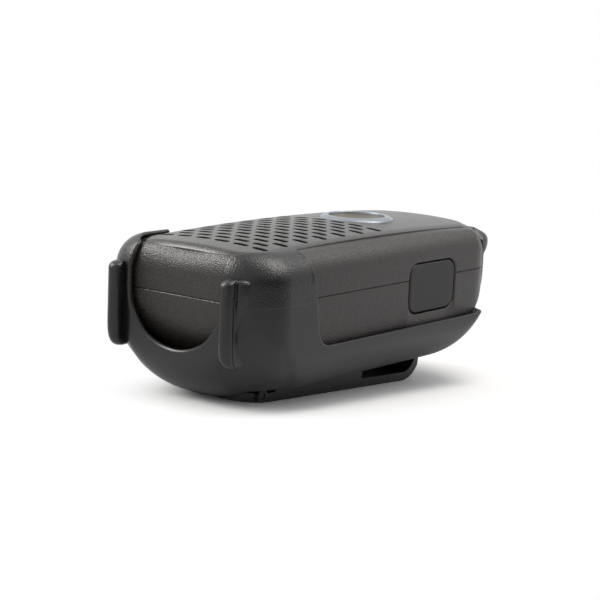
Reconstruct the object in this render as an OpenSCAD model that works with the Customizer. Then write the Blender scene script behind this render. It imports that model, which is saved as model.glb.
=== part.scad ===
// Portable two-way radio in a belt-clip holster, lying on the clip with its front face up.
// Pieces are drawn in the radio's frame: X across, Y along, Z out of the front, and z = 0 on the
// parting plane of the two shells. seated() then tips that frame so that the clip lies flat.

/* [Radio body] */
// Width of the radio
radio_w = 46; // [45:0.5:50]
// Length of the radio
radio_l = 100; // [97:0.5:110]
// Height of the front shell's shoulder above the parting plane
shoulder_h = 11.3; // [11:0.1:11.5]
// Depth of the rear shell below the parting plane
rear_depth = 20.4; // [20:0.1:23]
// Corner radius seen from the front
corner_r = 10; // [8:0.5:11]
// Radius along the front edge
edge_r = 6; // [5.5:0.25:6.5]
// Radius of the four upper corners, across the diagonal
brow_r = 8.6; // [8.2:0.2:8.8]
// Radius of the back where it curves up to both ends
end_r = 19; // [16:0.5:19.5]
// Radius along the two long back edges
side_r = 8; // [6:0.5:9]
// Radius of the four lower corners, across the diagonal
heel_r = 19.8; // [18:0.2:19.8]
// Wall thickness of both shells
shell_wall = 1.8; // [1.6:0.1:2]
// Height of the shadow line between the shells
seam_w = 0.3; // [0.2:0.05:0.5]
// Depth of the shadow line between the shells
seam_d = 0.4; // [0.3:0.05:0.5]

/* [Front panel] */
// Border of front shell left at each side of the panel
border_side = 5; // [4.8:0.1:5.5]
// Border of front shell left at each end of the panel
border_end = 2.5; // [2.3:0.1:4]
// Corner radius of the panel
panel_r = 7.5; // [6:0.5:9]
// Thickness of the panel
panel_t = 1.6; // [1.4:0.1:1.8]
// Height of the panel's crown above the parting plane
panel_top = 12.9; // [12.8:0.1:13.2]
// Radius of the crown across the radio
crown_across = 160; // [140:5:200]
// Radius of the crown along the radio
crown_along = 860; // [760:10:1000]
// Step of the panel above the front shell at the ends
panel_proud = 0.5; // [0.3:0.1:0.7]
// Width of the ledge under the panel's rim
ledge_w = 1.8; // [1.5:0.1:2]
// Thickness of the ledge under the panel's rim
ledge_t = 1.3; // [1:0.1:1.5]
// Clearance round the panel
panel_gap = 0.1; // [0.05:0.05:0.2]

/* [Grille] */
// Length of one sound slot
slot_l = 4.1; // [3.4:0.1:4.2]
// Width of one sound slot
slot_w = 1.6; // [1.2:0.05:1.7]
// Spacing of the slots across the radio
slot_pitch_x = 5.7; // [5.2:0.1:5.8]
// Spacing of the slot rows along the radio
slot_pitch_y = 3.7; // [3.2:0.1:3.8]
// Distance of the first row of slots from the panel's near end
slot_near = 8.5; // [8:0.1:9]
// Rows of slots
slot_rows = 13; // [9:1:13]
// Least margin between the slots and the panel's rim
slot_margin = 1.6; // [1.2:0.1:1.6]

/* [Front button] */
// Distance of the button from the radio's far end
button_in = 32.4; // [31:0.1:33]
// Outside diameter of the light ring
ring_d = 19; // [17.5:0.5:20]
// Height of the ring above the panel
ring_rise = 0.7; // [0.6:0.1:1]
// Width of the flat on top of the ring
ring_flat = 0.9; // [0.6:0.1:1.2]
// Diameter of the button cap
cap_d = 14; // [12.5:0.5:14.5]
// Depth of the dish in the cap
dish_d = 0.8; // [0.4:0.1:1]
// Travel of the button
button_travel = 0.8; // [0.5:0.1:1]
// Running clearance round the cap
cap_gap = 0.3; // [0.3:0.05:0.4]

/* [Side controls] */
// Distance of the talk button from the radio's far end
ptt_in = 58; // [56:0.5:60]
// Length of the talk button
ptt_l = 24; // [20:0.5:26]
// Height of the talk button
ptt_h = 7.6; // [7:0.1:8]
// Distance of the volume rocker from the radio's far end
rocker_in = 28; // [26:0.5:30]
// Length of the volume rocker
rocker_l = 18; // [16:0.5:20]
// Height of the volume rocker
rocker_h = 7; // [6.5:0.1:7.5]
// Depth of the side controls' centre line below the parting plane
control_z = 5.5; // [5.3:0.1:6]
// How far the side controls stand out of the shell
control_proud = 0.6; // [0.4:0.1:0.8]
// Travel of the talk button
ptt_travel = 0.8; // [0.5:0.1:0.9]
// Clearance round the side controls
control_gap = 0.3; // [0.3:0.05:0.4]
// Radius of the rocker's axle
axle_r = 0.6; // [0.5:0.05:0.65]

/* [Charging socket] */
// Distance of the socket cover from the radio's far end
cover_in = 30.3; // [28:0.1:33]
// Depth of the cover's centre below the parting plane
cover_z = 2.3; // [2:0.1:2.6]
// Length of the cover
cover_l = 20; // [17:0.5:21]
// Height of the cover
cover_h = 12.3; // [11:0.1:12.6]
// Corner radius of the cover
cover_r = 3.2; // [2:0.1:4]
// Thickness of the cover
cover_t = 1.5; // [1.2:0.1:1.6]
// Clearance round the cover
cover_gap = 0.3; // [0.3:0.05:0.4]
// Depth of the cover's plug behind its plate
plug_d = 1.1; // [0.8:0.1:1.2]
// Length of the socket across its mouth
socket_l = 8.2; // [7.5:0.1:9]
// Height of the socket
socket_h = 2.8; // [2.6:0.1:3]
// Depth of the socket from its mouth
socket_d = 6; // [5:0.1:7]

/* [Inside] */
// Thickness of the main board
board_t = 1.2; // [1:0.1:1.6]
// Depth of the board's upper face below the parting plane
board_z = 1.4; // [1.2:0.1:1.6]
// Gap between the board's edge and the shell
board_gap = 2.4; // [2.2:0.1:3]
// Distance of the battery pack from the radio's ends
battery_end = 21; // [20.5:0.5:24]
// Distance of the battery pack from the radio's sides
battery_side = 6; // [5.5:0.25:7.5]
// Thickness of the battery pack
battery_t = 9.4; // [8.5:0.1:9.6]
// Clearance round the battery pack
battery_gap = 0.4; // [0.3:0.05:0.6]
// Depth of the bay's roof below the parting plane
floor_z = 6.5; // [6.3:0.1:6.8]
// Thickness of the bay's roof and of its walls
bay_wall = 1.4; // [1.2:0.1:1.5]
// Ledge that the battery door rests on
door_ledge = 1.4; // [1.2:0.1:1.6]
// Clearance round the battery door
door_gap = 0.15; // [0.1:0.05:0.2]
// Distance of the speaker from the radio's sides
speaker_side = 8; // [8:0.25:9.5]
// Distance of the speaker's centre from the radio's near end
speaker_in = 29; // [27:0.5:30]
// Height of the speaker's rim above the parting plane
speaker_z = 7.4; // [7.2:0.1:7.5]
// Distance of the magnet's edge from the speaker's edge
magnet_in = 6.5; // [6:0.25:8]
// Thickness of the speaker cloth
cloth_t = 0.35; // [0.25:0.05:0.4]
// Distance of the microphone from the radio's far end
mic_in = 10; // [9:0.5:12]
// Diameter of the microphone
mic_d = 4; // [3.5:0.1:4.5]
// Diameter of the shell screws' thread
screw_d = 2; // [1.8:0.1:2.2]
// Distance of the shell screws from the sides
screw_side = 4.4; // [4.3:0.1:4.6]
// Distance of the shell screws from the ends
screw_end = 14; // [13:0.5:15]
// Diameter of the board screws' thread
board_screw_d = 1.6; // [1.4:0.1:1.7]

/* [Holster] */
// Clearance between the radio and the holster
holster_gap = 0.3; // [0.25:0.05:0.4]
// Wall thickness of the holster
holster_wall = 1.7; // [1.5:0.1:2]
// Height of the gripping arms above the parting plane
arm_top = 11.8; // [11.6:0.1:12.2]
// Radius over the shoulder of the arms
arm_r = 7.5; // [7:0.1:7.8]
// Gap between the arms' lips and the front panel
lip_gap = 0.8; // [0.5:0.1:1.2]
// Radius of the cut-out in the near end
notch_r = 14; // [12:0.5:14.5]
// Height of the cut-out's centre above the parting plane
notch_z = 1.3; // [0:0.1:2]
// Length of the arms from the near end, at the parting plane
arm_l = 21.5; // [20:0.5:23]
// Slant of the arms' edges
arm_slant = 12; // [6:1:14]
// Depth of the side rim below the parting plane
rim_z = 11.2; // [10.8:0.1:12]
// Radius where the arms run into the rim
rim_r = 4; // [2:0.5:5]
// Depth of the chin under the near end
chin_depth = 24.7; // [24.2:0.1:24.8]
// Radius of the chin where it curves up to the near end
chin_r = 14; // [13:0.5:16]
// Radius of the chin where it curves up to the sides
chin_side_r = 16; // [14:0.5:17]
// Length of the chin from the near end
chin_l = 13.6; // [12.5:0.1:13.8]
// Place of the finger fins from the middle
fin_x = 17; // [16:0.25:18]
// Thickness of the finger fins
fin_t = 2.4; // [2:0.1:3]
// Reach of the finger fins past the near end
fin_reach = 3; // [2:0.1:4]
// Radius of the bead on the fins
bead_r = 1.7; // [1.4:0.1:2]
// Height of the fins' upper end above the parting plane
fin_top = 6.2; // [5:0.1:7]
// Depth of the fins' lower end below the parting plane
fin_bottom = 14.2; // [12:0.1:15]

/* [Release latch] */
// Width of the latch at its finger lip
latch_w = 38; // [35:0.5:38.5]
// Width of the latch at its root
latch_root_w = 27; // [24:0.5:28]
// Radius of the finger lip
latch_lip_r = 2.9; // [2.5:0.1:3]
// Height of the finger lip above the parting plane
latch_lip_z = 5.7; // [5:0.1:6]
// Height of the hook's edge above the parting plane
latch_top = 9.5; // [9:0.1:10]
// Depth of the latch's full width below the parting plane
latch_low = 6; // [5:0.1:7]
// Reach of the finger lip past the far end
latch_reach = 3.9; // [3:0.1:4]
// Gap under the latch's root
latch_gap = 0.3; // [0.3:0.05:0.5]

/* [Belt clip] */
// Slant between the clip and the radio's back
clip_slant = 3.4; // [3:0.1:4]
// Width of the clip
clip_w = 24; // [22:0.5:26]
// Length of the clip from its pin to its tip
clip_l = 65.6; // [60:0.2:66.4]
// Length of the thumb tab before the pin
tab_l = 4.3; // [3.6:0.1:4.6]
// Thickness of the clip
clip_t = 2.2; // [1.8:0.1:2.3]
// Outside radius of the turned-up tip
tip_r = 8; // [7.8:0.1:8.6]
// Corner radius of the clip's tip seen from below
clip_corner_r = 1.5; // [1:0.5:4]
// Corner radius of the thumb tab seen from below
tab_corner_r = 7; // [4:0.5:8]
// Gap between the clip and the holster's back
clip_gap = 0.3; // [0.3:0.05:0.4]
// Place of the stiffening flanges along the clip, from the pin
flange_y = 4.5; // [4:0.25:7]
// Length of the stiffening flanges
flange_l = 35; // [28:0.5:37]
// Thickness of the stiffening flanges
flange_t = 2; // [1.6:0.1:2.4]
// Distance of the clip's pin from the radio's near end
pivot_in = 17; // [16:0.1:18]
// Depth of the pin below the holster's back
pivot_drop = 1.95; // [1.95:0.01:2.2]
// Radius of the clip's knuckles
knuckle_r = 1.62; // [1.55:0.01:1.65]
// Radius of the pin
pin_r = 0.8; // [0.7:0.05:0.85]
// Running clearance of the clip on its pin
pin_gap = 0.06; // [0.03:0.01:0.08]
// Clearance of the pin in the holster's lugs
lug_gap = 0.02; // [0.01:0.01:0.03]
// Distance of the lugs' inner faces from the middle
lug_in = 4.9; // [4.8:0.1:5.2]
// Thickness of each lug
lug_t = 3.4; // [3:0.1:3.6]
// Side play between the lugs and the clip
lug_play = 0.25; // [0.2:0.05:0.3]
// Diameter of the spring wire
wire_d = 0.45; // [0.4:0.05:0.5]
// Mean radius of the spring's turns
coil_r = 1.15; // [1.1:0.01:1.16]
// Spacing of the spring's turns
coil_pitch = 1.2; // [1:0.05:1.3]

/* [Hidden] */
$fn = 96;

// Overlap that lets one cut run clear of the face it opens
cut = 1;
// Height of a block that is taller than any piece
tall = 40;

// Radio
half_w = radio_w / 2;
half_l = radio_l / 2;
corner_out = 0.2;
brow_more = brow_r - edge_r;
panel_w = radio_w - 2 * border_side;
panel_l = radio_l - 2 * border_end;
shell_top = panel_top - panel_proud;
roof_t = 2.3;
roof_h = shoulder_h - roof_t;
roof_top = panel_top - panel_t - ledge_t;
recess_low = 6;
crown_reach = 5;
crown_span = 2 * asin((half_l + crown_reach) / crown_along);
gasket_in = 0.5;
gasket_w = 0.8;
gasket_h = 0.8;

// Shell screws
screw_x = half_w - screw_side;
screw_y = half_l - screw_end;
screw_depth = 6;
pilot_over = 0.5;
thread_gap = 0.02;
head_z = 8;
head_h = 1.4;
head_out = 0.9;
head_gap = 0.2;
head_r = screw_d / 2 + head_out;
boss_wall = 1.2;
front_boss_r = screw_d / 2 + boss_wall;
rear_boss_r = head_r + head_gap + boss_wall;
drive_share = 0.8;

// Front button
ring_r = ring_d / 2;
cap_r = cap_d / 2;
button_y = half_l - button_in;
button_h = crown_z(panel_top, 0, button_y);
ring_gap = 0.1;
ring_flange_w = 1.1;
ring_flange_t = 0.9;
ring_flange_r = ring_r + ring_flange_w;
flange_top = crown_z(panel_top - panel_t, ring_flange_r, button_y + ring_flange_r) - ring_gap;
flange_bottom = flange_top - ring_flange_t;
cap_flange_w = 0.9;
cap_flange_t = 1;
cap_flange_r = cap_r + cap_flange_w;
step_z = flange_bottom + cap_flange_t + 2 * ring_gap;
cap_sunk = 0.5;
cap_top = button_h + ring_rise - cap_sunk;
stem_r = 2;
pipe_r = 0.9;
pipe_in = 0.2;
pipe_x = ring_flange_r - pipe_r - pipe_in;
led_h = 0.8;
led_w = 2;
led_gap = 0.3;
switch_w = 6;
switch_h = 3.4;
plunger_h = 0.6;
plunger_r = 1.6;
press_gap = 0.1;

// Board and what stands on it
board_w = radio_w - 2 * (shell_wall + board_gap);
board_end_gap = 4.2;
board_l = radio_l - 2 * (shell_wall + board_end_gap);
board_r = 4;
board_low = board_z + board_t;
boss_gap = 0.4;
post_x = 12;
post_in = 4.5;
post_y = board_l / 2 - post_in;
post_r = 2.2;
board_head_out = 0.8;
board_head_r = board_screw_d / 2 + board_head_out;
board_head_h = 1;
board_hole_gap = 0.1;
board_grip = 2.8;
shield_w = 26;
shield_l = 14;
shield_h = 3;
shield_t = 0.4;
shield_r = 1;
shield_away = 2;
shield_y = button_y + switch_w / 2 + shield_away + shield_l / 2;
antenna_w = 18;
antenna_h = 6.5;
antenna_t = 0.5;
antenna_foot = 3;
antenna_in = 0.8;
antenna_y = board_l / 2 - antenna_in;

// Speaker and microphone
speaker_r = half_w - speaker_side;
speaker_y = speaker_in - half_l;
speaker_rim_t = 0.8;
speaker_rim_w = 2.6;
basket_h = 3.5;
basket_t = 0.8;
basket_floor = basket_t - basket_h;
magnet_r = speaker_r - magnet_in;
magnet_h = 3.2;
former_in = 3;
former_r = magnet_r - former_in;
former_h = 1.2;
cone_t = 0.5;
cone_edge = 0.6;
speaker_pad_t = speaker_rim_t + cone_t;
speaker_pad_w = 1.8;
speaker_pad_in = 0.2;
speaker_pad_r = speaker_r - speaker_pad_in;
speaker_pad_top = min([for (a = [0 : 5 : 355]) crown_z(panel_top - panel_t - cloth_t,
    speaker_pad_r * cos(a), speaker_y + speaker_pad_r * sin(a))]);
cloth_in = 0.3;
mic_y = half_l - mic_in;
mic_h = 2;
mic_wall = 1;
mic_sunk = 0.3;
mic_hole_d = 1.2;
mic_boot_r = mic_d / 2 + mic_wall;
mic_boot_top = crown_z(panel_top - panel_t, mic_boot_r, mic_y + mic_boot_r);
mic_z = mic_boot_top - mic_h - mic_sunk;

// Battery bay
battery_w = radio_w - 2 * battery_side;
battery_l = radio_l - 2 * battery_end;
bay_w = battery_w + 2 * battery_gap;
bay_l = battery_l + 2 * battery_gap;
door_w = bay_w + 2 * door_ledge;
door_l = bay_l + 2 * door_ledge;
bay_top = floor_z + bay_wall;
battery_top = bay_top + battery_gap;
battery_low = battery_top + battery_t;
door_over = 0.2;
door_z = battery_low + door_over;
battery_r = 1.5;
contact_x = 5;
contact_w = 1.8;
contact_t = 0.6;
contact_foot = 3;
contact_in = 4;
contact_y = contact_in - battery_l / 2;
contact_gap = 0.3;

// Side controls
ptt_y = half_l - ptt_in;
rocker_y = half_l - rocker_in;
control_r = 1.3;
control_flange_t = 1;
control_flange_l = 0.8;
control_flange_h = 0.5;
control_wall_gap = 0.1;
control_in = half_w - shell_wall - control_wall_gap;
side_switch_d = 3.4;
side_switch_l = 6;
side_switch_h = 3.4;
side_plunger = 0.5;
side_plunger_l = 2.4;
side_plunger_h = 1.8;
switch_x = control_in - control_flange_t - ptt_travel - press_gap;
axle_gap = 0.05;
axle_out = 1;
axle_x = half_w - shell_wall / 2;
nub_y = 6;
nub_l = 2;
nub_h = 3;
nub_swing = 0.4;

// Charging socket
cover_y = half_l - cover_in;
pad_t = 1.4;
pad_rim = 1.5;
cover_seat = 0.1;
socket_z = board_low + socket_h / 2;
socket_r = 0.8;
socket_wall = 0.4;
socket_back = 0.2;
mouth_play = 1.2;
plug_play = 0.9;
plug_r = 0.8;
pad_in = half_w - cover_t - cover_seat - pad_t;

// Holster
holster_out = holster_gap + holster_wall;
back_z = -rear_depth - holster_out;
arm_y = arm_l - half_l - holster_out;
rim_cz = rim_r - rim_z;
rim_cy = arm_y - rim_cz * tan(arm_slant) + rim_r / cos(arm_slant);
root_r = holster_wall / 2;
root_z = root_r + latch_gap - rim_z;
root_y = end_y(holster_gap + holster_wall / 2, root_z);
latch_lip_y = half_l + holster_out + latch_reach - latch_lip_r;
latch_lip_round = 5;
latch_trim = 3;

// Belt clip, whose own frame is level with the surface that it lies on
pivot_y = pivot_in - half_l;
pivot_z = back_z - pivot_drop;
rest_h = knuckle_r - pivot_y * sin(clip_slant) - pivot_z * cos(clip_slant);
pivot_seat_y = pivot_y * cos(clip_slant) - pivot_z * sin(clip_slant);
knuckle_in = lug_in + lug_t + lug_play;
lug_less = 0.25;
lug_r = knuckle_r - lug_less;
gap_over = 1.5;
gap_l = knuckle_r + gap_over;
gap_before = 0.5;
pin_sunk = 0.2;
pin_l = clip_w - 2 * pin_sunk;
coil_turns = 4.25;
coil_half = coil_pitch * coil_turns / 2;
rings_per_turn = 8;
wire_sides = 6;
leg_down = 5.5;
leg_up = 1.6;
wire_gap = 0.3;

// Height of the crowned surface whose highest point is at apex
function crown_z(apex, x, y) = apex - crown_along
    + sqrt(pow(crown_along - crown_across + sqrt(pow(crown_across, 2) - x * x), 2) - y * y);

// Y of the far end's curve, grown outwards from the radio, at height z below the parting plane
function end_y(grow, z) = half_l - end_r
    + sqrt(pow(end_r + grow, 2) - pow(z + rear_depth - end_r, 2));

// Height of the holster's back above the clip's own frame, at distance y from the pin
function back_h(y) = rest_h + back_z * cos(clip_slant)
    + (y + pivot_seat_y + back_z * sin(clip_slant)) * tan(clip_slant);

// Rectangle with round corners
module rounded(w, l, r) {
    square([w - 2 * r, l], center = true);
    square([w, l - 2 * r], center = true);
    for (x = [-1, 1], y = [-1, 1])
        translate([x * (w / 2 - r), y * (l / 2 - r)]) circle(r);
}

// Slot with round ends
module slot(l, w) {
    square([l - w, w], center = true);
    for (x = [-1, 1]) translate([x * (l - w) / 2, 0]) circle(w / 2);
}

// Section with round upper corners, reaching below zero by base
module shoulder(w, h, r, base) {
    translate([-w / 2, -base]) square([w, h - r + base]);
    translate([r - w / 2, -base]) square([w - 2 * r, h + base]);
    for (x = [-1, 1]) translate([x * (w / 2 - r), h - r]) circle(r);
}

// Section with round lower corners, reaching above zero by base
module keel(w, d, r, base) {
    translate([-w / 2, r - d]) square([w, d - r + base]);
    translate([r - w / 2, -d]) square([w - 2 * r, d + base]);
    for (x = [-1, 1]) translate([x * (w / 2 - r), r - d]) circle(r);
}

// A section in X and Z, drawn out along Y
module across(l) {
    rotate([90, 0, 0]) linear_extrude(l, center = true) children();
}

// A section in Y and Z, drawn out along X from x0 to x1
module along(x0, x1) {
    translate([x0, 0, 0]) rotate([90, 0, 90]) linear_extrude(x1 - x0) children();
}

// Width of a rounded plan across its corners
function across_corners(w, l, r) = (w + l - 4 * r) / sqrt(2) + 2 * (r + corner_out);

// Upper half of the radio's outside, grown outwards
module front_body(grow, top, r, base) {
    w = radio_w + 2 * grow;
    l = radio_l + 2 * grow;
    c = corner_r + grow;
    diagonal = across_corners(w, l, c);
    intersection() {
        translate([0, 0, -base]) linear_extrude(top + base) rounded(w, l, c);
        across(l + cut) shoulder(w, top, r, base);
        along(-w, w) shoulder(l, top, r, base);
        rotate([0, 0, 45]) across(2 * l) shoulder(diagonal, top, r + brow_more, base);
        rotate([0, 0, -45]) across(2 * l) shoulder(diagonal, top, r + brow_more, base);
    }
}

// Rounded block below the parting plane, which curves up to its sides, ends and corners
module under_body(w, l, r, d, side, end, heel, base) {
    diagonal = across_corners(w, l, r);
    intersection() {
        translate([0, 0, -d]) linear_extrude(d + base) rounded(w, l, r);
        across(l + cut) keel(w, d, side, base);
        along(-w, w) keel(l, d, end, base);
        rotate([0, 0, 45]) across(2 * l) keel(diagonal, d, heel, base);
        rotate([0, 0, -45]) across(2 * l) keel(diagonal, d, heel, base);
    }
}

// Lower half of the radio's outside, grown outwards
module rear_body(grow, base) {
    under_body(radio_w + 2 * grow, radio_l + 2 * grow, corner_r + grow, rear_depth + grow,
        side_r + grow, end_r + grow, heel_r + grow, base);
}

// Everything below a surface crowned across and along the radio
module crown(apex) {
    translate([0, 0, apex - crown_along])
        rotate([90, 0, 90])
            rotate([0, 0, 90 - crown_span / 2])
                rotate_extrude(angle = crown_span, $fn = 720)
                    translate([crown_along - crown_across, 0])
                        intersection() {
                            circle(crown_across, $fn = 360);
                            translate([crown_across - tall, -radio_w]) square([2 * tall, 2 * radio_w]);
                        }
}

// The front panel's outline, grown outwards, as a tall block from z upwards
module panel_block(grow, z) {
    translate([0, 0, z]) linear_extrude(tall)
        rounded(panel_w + 2 * grow, panel_l + 2 * grow, panel_r + grow);
}

// Copies at the four shell screws
module at_screws() {
    for (x = [-1, 1], y = [-1, 1]) translate([x * screw_x, y * screw_y, 0]) children();
}

// Copies at the four board screws
module at_posts() {
    for (x = [-1, 1], y = [-1, 1]) translate([x * post_x, y * post_y, 0]) children();
}

// Outline of the socket cover in Y and Z
module cover_outline(grow) {
    translate([cover_y, -cover_z]) rounded(cover_l + 2 * grow, cover_h + 2 * grow, cover_r + grow);
}

// Outline of something centred on the charging socket, in Y and Z
module mouth_outline(l, h, r) {
    translate([cover_y, -socket_z]) rounded(l, h, r);
}

// Pocket for the socket cover, with the way in to the socket behind it
module cover_pocket() {
    along(half_w - cover_t - cover_seat, half_w + cut) cover_outline(cover_gap);
    along(pad_in - cut, half_w)
        mouth_outline(socket_l + 2 * mouth_play, socket_h + 2 * mouth_play, mouth_play);
}

// Wall behind the cover pocket
module cover_pad() {
    along(pad_in, half_w - seam_d) cover_outline(pad_rim);
}

// Window for a side control
module control_window(y, l, h) {
    along(-half_w - cut, cut - half_w + shell_wall)
        translate([y, -control_z])
            rounded(l + 2 * control_gap, h + 2 * control_gap, control_r + control_gap);
}

// Ring that follows the shells' outline, between two depths in from it
module seam_ring(inner, outer, z, h) {
    translate([0, 0, z]) linear_extrude(h) difference() {
        rounded(radio_w - 2 * outer, radio_l - 2 * outer, corner_r - outer);
        rounded(radio_w - 2 * inner, radio_l - 2 * inner, corner_r - inner);
    }
}

// Front half of the casing, a moulded tray whose open top carries the panel on a ledge
module front_shell() {
    color("#2d2d30")
    difference() {
        intersection() {
            union() {
                difference() {
                    front_body(0, shoulder_h, edge_r, 0);
                    intersection() {
                        front_body(-shell_wall, roof_h, edge_r - shell_wall, cut);
                        crown(roof_top);
                    }
                }
                at_screws() cylinder(r = front_boss_r, h = roof_h);
                intersection() {
                    front_body(0, shoulder_h, edge_r, 0);
                    cover_pad();
                }
            }
            crown(shell_top);
        }
        difference() {
            panel_block(panel_gap, recess_low);
            crown(panel_top - panel_t);
        }
        panel_block(-ledge_w, recess_low);
        at_screws() translate([0, 0, -cut])
            cylinder(r = screw_d / 2 + thread_gap, h = cut + screw_depth + pilot_over);
        cover_pocket();
        seam_ring(seam_d, -cut, -cut, cut + seam_w);
    }
}

// Centres of the sound slots: staggered rows that keep off the panel's rim and the button
slot_columns = ceil(panel_w / slot_pitch_x / 2);
slot_centres = [
    for (row = [0 : slot_rows - 1], column = [-slot_columns : slot_columns])
        let (
            x = (column + (row + 1) % 2 / 2) * slot_pitch_x,
            y = slot_near + row * slot_pitch_y - panel_l / 2
        )
        if (abs(x) + slot_l / 2 <= panel_w / 2 - slot_margin
            && norm([x, y - button_y]) >= ring_flange_r + slot_w)
        [x, y]
];

// Crowned front plate with the sound slots, the button's hole and the microphone's hole
module front_panel() {
    color("#3c3c40")
    difference() {
        intersection() {
            crown(panel_top);
            panel_block(0, 0);
        }
        crown(panel_top - panel_t);
        linear_extrude(tall) for (p = slot_centres) translate(p) slot(slot_l, slot_w);
        translate([0, button_y, 0]) cylinder(r = ring_r + ring_gap, h = tall);
        translate([0, mic_y, 0]) cylinder(d = mic_hole_d, h = tall);
    }
}

// Rear half of the casing, with the battery bay, the board's posts and the screw bosses
module rear_shell() {
    color("#2d2d30")
    difference() {
        union() {
            difference() {
                rear_body(0, 0);
                rear_body(-shell_wall, cut);
            }
            intersection() {
                rear_body(0, 0);
                union() {
                    translate([0, 0, -floor_z - tall]) linear_extrude(tall)
                        rounded(bay_w + 2 * bay_wall, bay_l + 2 * bay_wall, battery_r + bay_wall);
                    translate([0, 0, bay_wall - door_z - tall]) linear_extrude(tall)
                        rounded(door_w + 2 * bay_wall, door_l + 2 * bay_wall, battery_r + bay_wall);
                    at_screws() translate([0, 0, -tall]) cylinder(r = rear_boss_r, h = tall);
                    at_posts() translate([0, 0, -board_low - tall]) cylinder(r = post_r, h = tall);
                    cover_pad();
                }
            }
        }
        translate([0, 0, -bay_top - tall]) linear_extrude(tall) rounded(bay_w, bay_l, battery_r);
        translate([0, 0, -door_z - tall]) linear_extrude(tall)
            rounded(door_w + 2 * door_gap, door_l + 2 * door_gap, battery_r + door_gap);
        at_screws() {
            translate([0, 0, -head_z - tall]) cylinder(r = head_r + head_gap, h = tall);
            translate([0, 0, -tall]) cylinder(r = screw_d / 2 + head_gap, h = cut + tall);
        }
        at_posts() translate([0, 0, -board_low - board_grip - pilot_over])
            cylinder(r = board_screw_d / 2 + thread_gap, h = tall);
        for (x = [-1, 0, 1]) translate([x * contact_x, contact_y, -bay_top - cut])
            linear_extrude(bay_wall + 2 * cut)
                square([contact_w + 2 * contact_gap, contact_t + 2 * contact_gap], center = true);
        cover_pocket();
        control_window(ptt_y, ptt_l, ptt_h);
        control_window(rocker_y, rocker_l, rocker_h);
        translate([-axle_x, rocker_y, -control_z])
            cylinder(r = axle_r + axle_gap, h = rocker_h + 2 * (axle_out + axle_gap), center = true);
        seam_ring(gasket_in + gasket_w, gasket_in, -gasket_h, tall);
    }
}

// Rubber seal in the groove of the rear shell's rim, let go where the socket cover crosses it
module shell_gasket() {
    color("#171717")
    difference() {
        seam_ring(gasket_in + gasket_w, gasket_in, -gasket_h, gasket_h);
        along(pad_in - cut, half_w + cut) cover_outline(cover_gap);
    }
}

// Four screws that draw the rear shell to the front shell
module shell_screws() {
    color("#8d9095")
    at_screws() difference() {
        union() {
            translate([0, 0, -head_z - head_h]) cylinder(r = head_r, h = head_h);
            translate([0, 0, -head_z]) cylinder(d = screw_d, h = head_z + screw_depth);
        }
        translate([0, 0, -head_z - head_h - cut])
            cylinder(d = screw_d * drive_share, h = cut + head_h / 2, $fn = 6);
    }
}

// Door that closes the battery bay, flush with the radio's back
module battery_door() {
    color("#29292b")
    intersection() {
        rear_body(0, 0);
        translate([0, 0, -door_z - tall]) linear_extrude(tall) rounded(door_w, door_l, battery_r);
    }
}

// Rechargeable pack in the bay
module battery_pack() {
    color("#3a4048")
    translate([0, 0, -battery_low]) linear_extrude(battery_t) rounded(battery_w, battery_l, battery_r);
}

// Sprung contact blades between the board and the pack
module battery_contacts() {
    color("#c9a74e")
    for (x = [-1, 0, 1]) translate([x * contact_x, contact_y, 0]) {
        translate([0, 0, -battery_top]) linear_extrude(battery_top - board_low)
            square([contact_w, contact_t], center = true);
        translate([-contact_w / 2, -contact_t / 2, -board_low - contact_t])
            cube([contact_w, contact_foot, contact_t]);
    }
}

// Circuit board on its four posts, cut away round the shell's bosses
module main_board() {
    color("#1f5a3a")
    difference() {
        translate([0, 0, -board_low]) linear_extrude(board_t) rounded(board_w, board_l, board_r);
        at_screws() translate([0, 0, -tall]) cylinder(r = rear_boss_r + boss_gap, h = 2 * tall);
        at_posts() translate([0, 0, -tall])
            cylinder(r = board_screw_d / 2 + board_hole_gap, h = 2 * tall);
    }
}

// Four screws that hold the board
module board_screws() {
    color("#8d9095")
    at_posts() translate([0, 0, -board_z]) difference() {
        union() {
            cylinder(r = board_head_r, h = board_head_h);
            translate([0, 0, -board_t - board_grip]) cylinder(d = board_screw_d, h = board_t + board_grip);
        }
        translate([0, 0, board_head_h / 2]) cylinder(d = board_screw_d * drive_share, h = cut, $fn = 6);
    }
}

// Pressed metal can over the transmitter
module rf_shield() {
    color("#b4b7ba")
    translate([0, shield_y, -board_z]) difference() {
        linear_extrude(shield_h) rounded(shield_w, shield_l, shield_r);
        translate([0, 0, -cut]) linear_extrude(cut + shield_h - shield_t)
            rounded(shield_w - 2 * shield_t, shield_l - 2 * shield_t, shield_r - shield_t);
    }
}

// Bent strip aerial that stands at the far end of the board
module antenna() {
    color("#c08a52")
    translate([-antenna_w / 2, antenna_y - antenna_t, -board_z]) {
        cube([antenna_w, antenna_t, antenna_h]);
        translate([0, -antenna_foot, antenna_h - antenna_t])
            cube([antenna_w, antenna_foot + antenna_t, antenna_t]);
        for (x = [0, antenna_w - antenna_foot])
            translate([x, -antenna_foot, 0]) cube([antenna_foot, antenna_foot + antenna_t, antenna_t]);
    }
}

// Pressed basket of the speaker
module speaker_frame() {
    color("#6e7175")
    translate([0, speaker_y, speaker_z]) rotate_extrude() polygon([
        [former_r + basket_t, -basket_h], [magnet_r + 2 * basket_t, -basket_h],
        [speaker_r - speaker_rim_w, 0], [speaker_r, 0], [speaker_r, speaker_rim_t],
        [speaker_r - speaker_rim_w - basket_t, speaker_rim_t], [magnet_r + basket_t, basket_floor],
        [former_r + basket_t, basket_floor]
    ]);
}

// Magnet under the basket
module speaker_magnet() {
    color("#4a4c4f")
    translate([0, speaker_y, speaker_z - basket_h - magnet_h]) cylinder(r = magnet_r, h = magnet_h);
}

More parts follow.
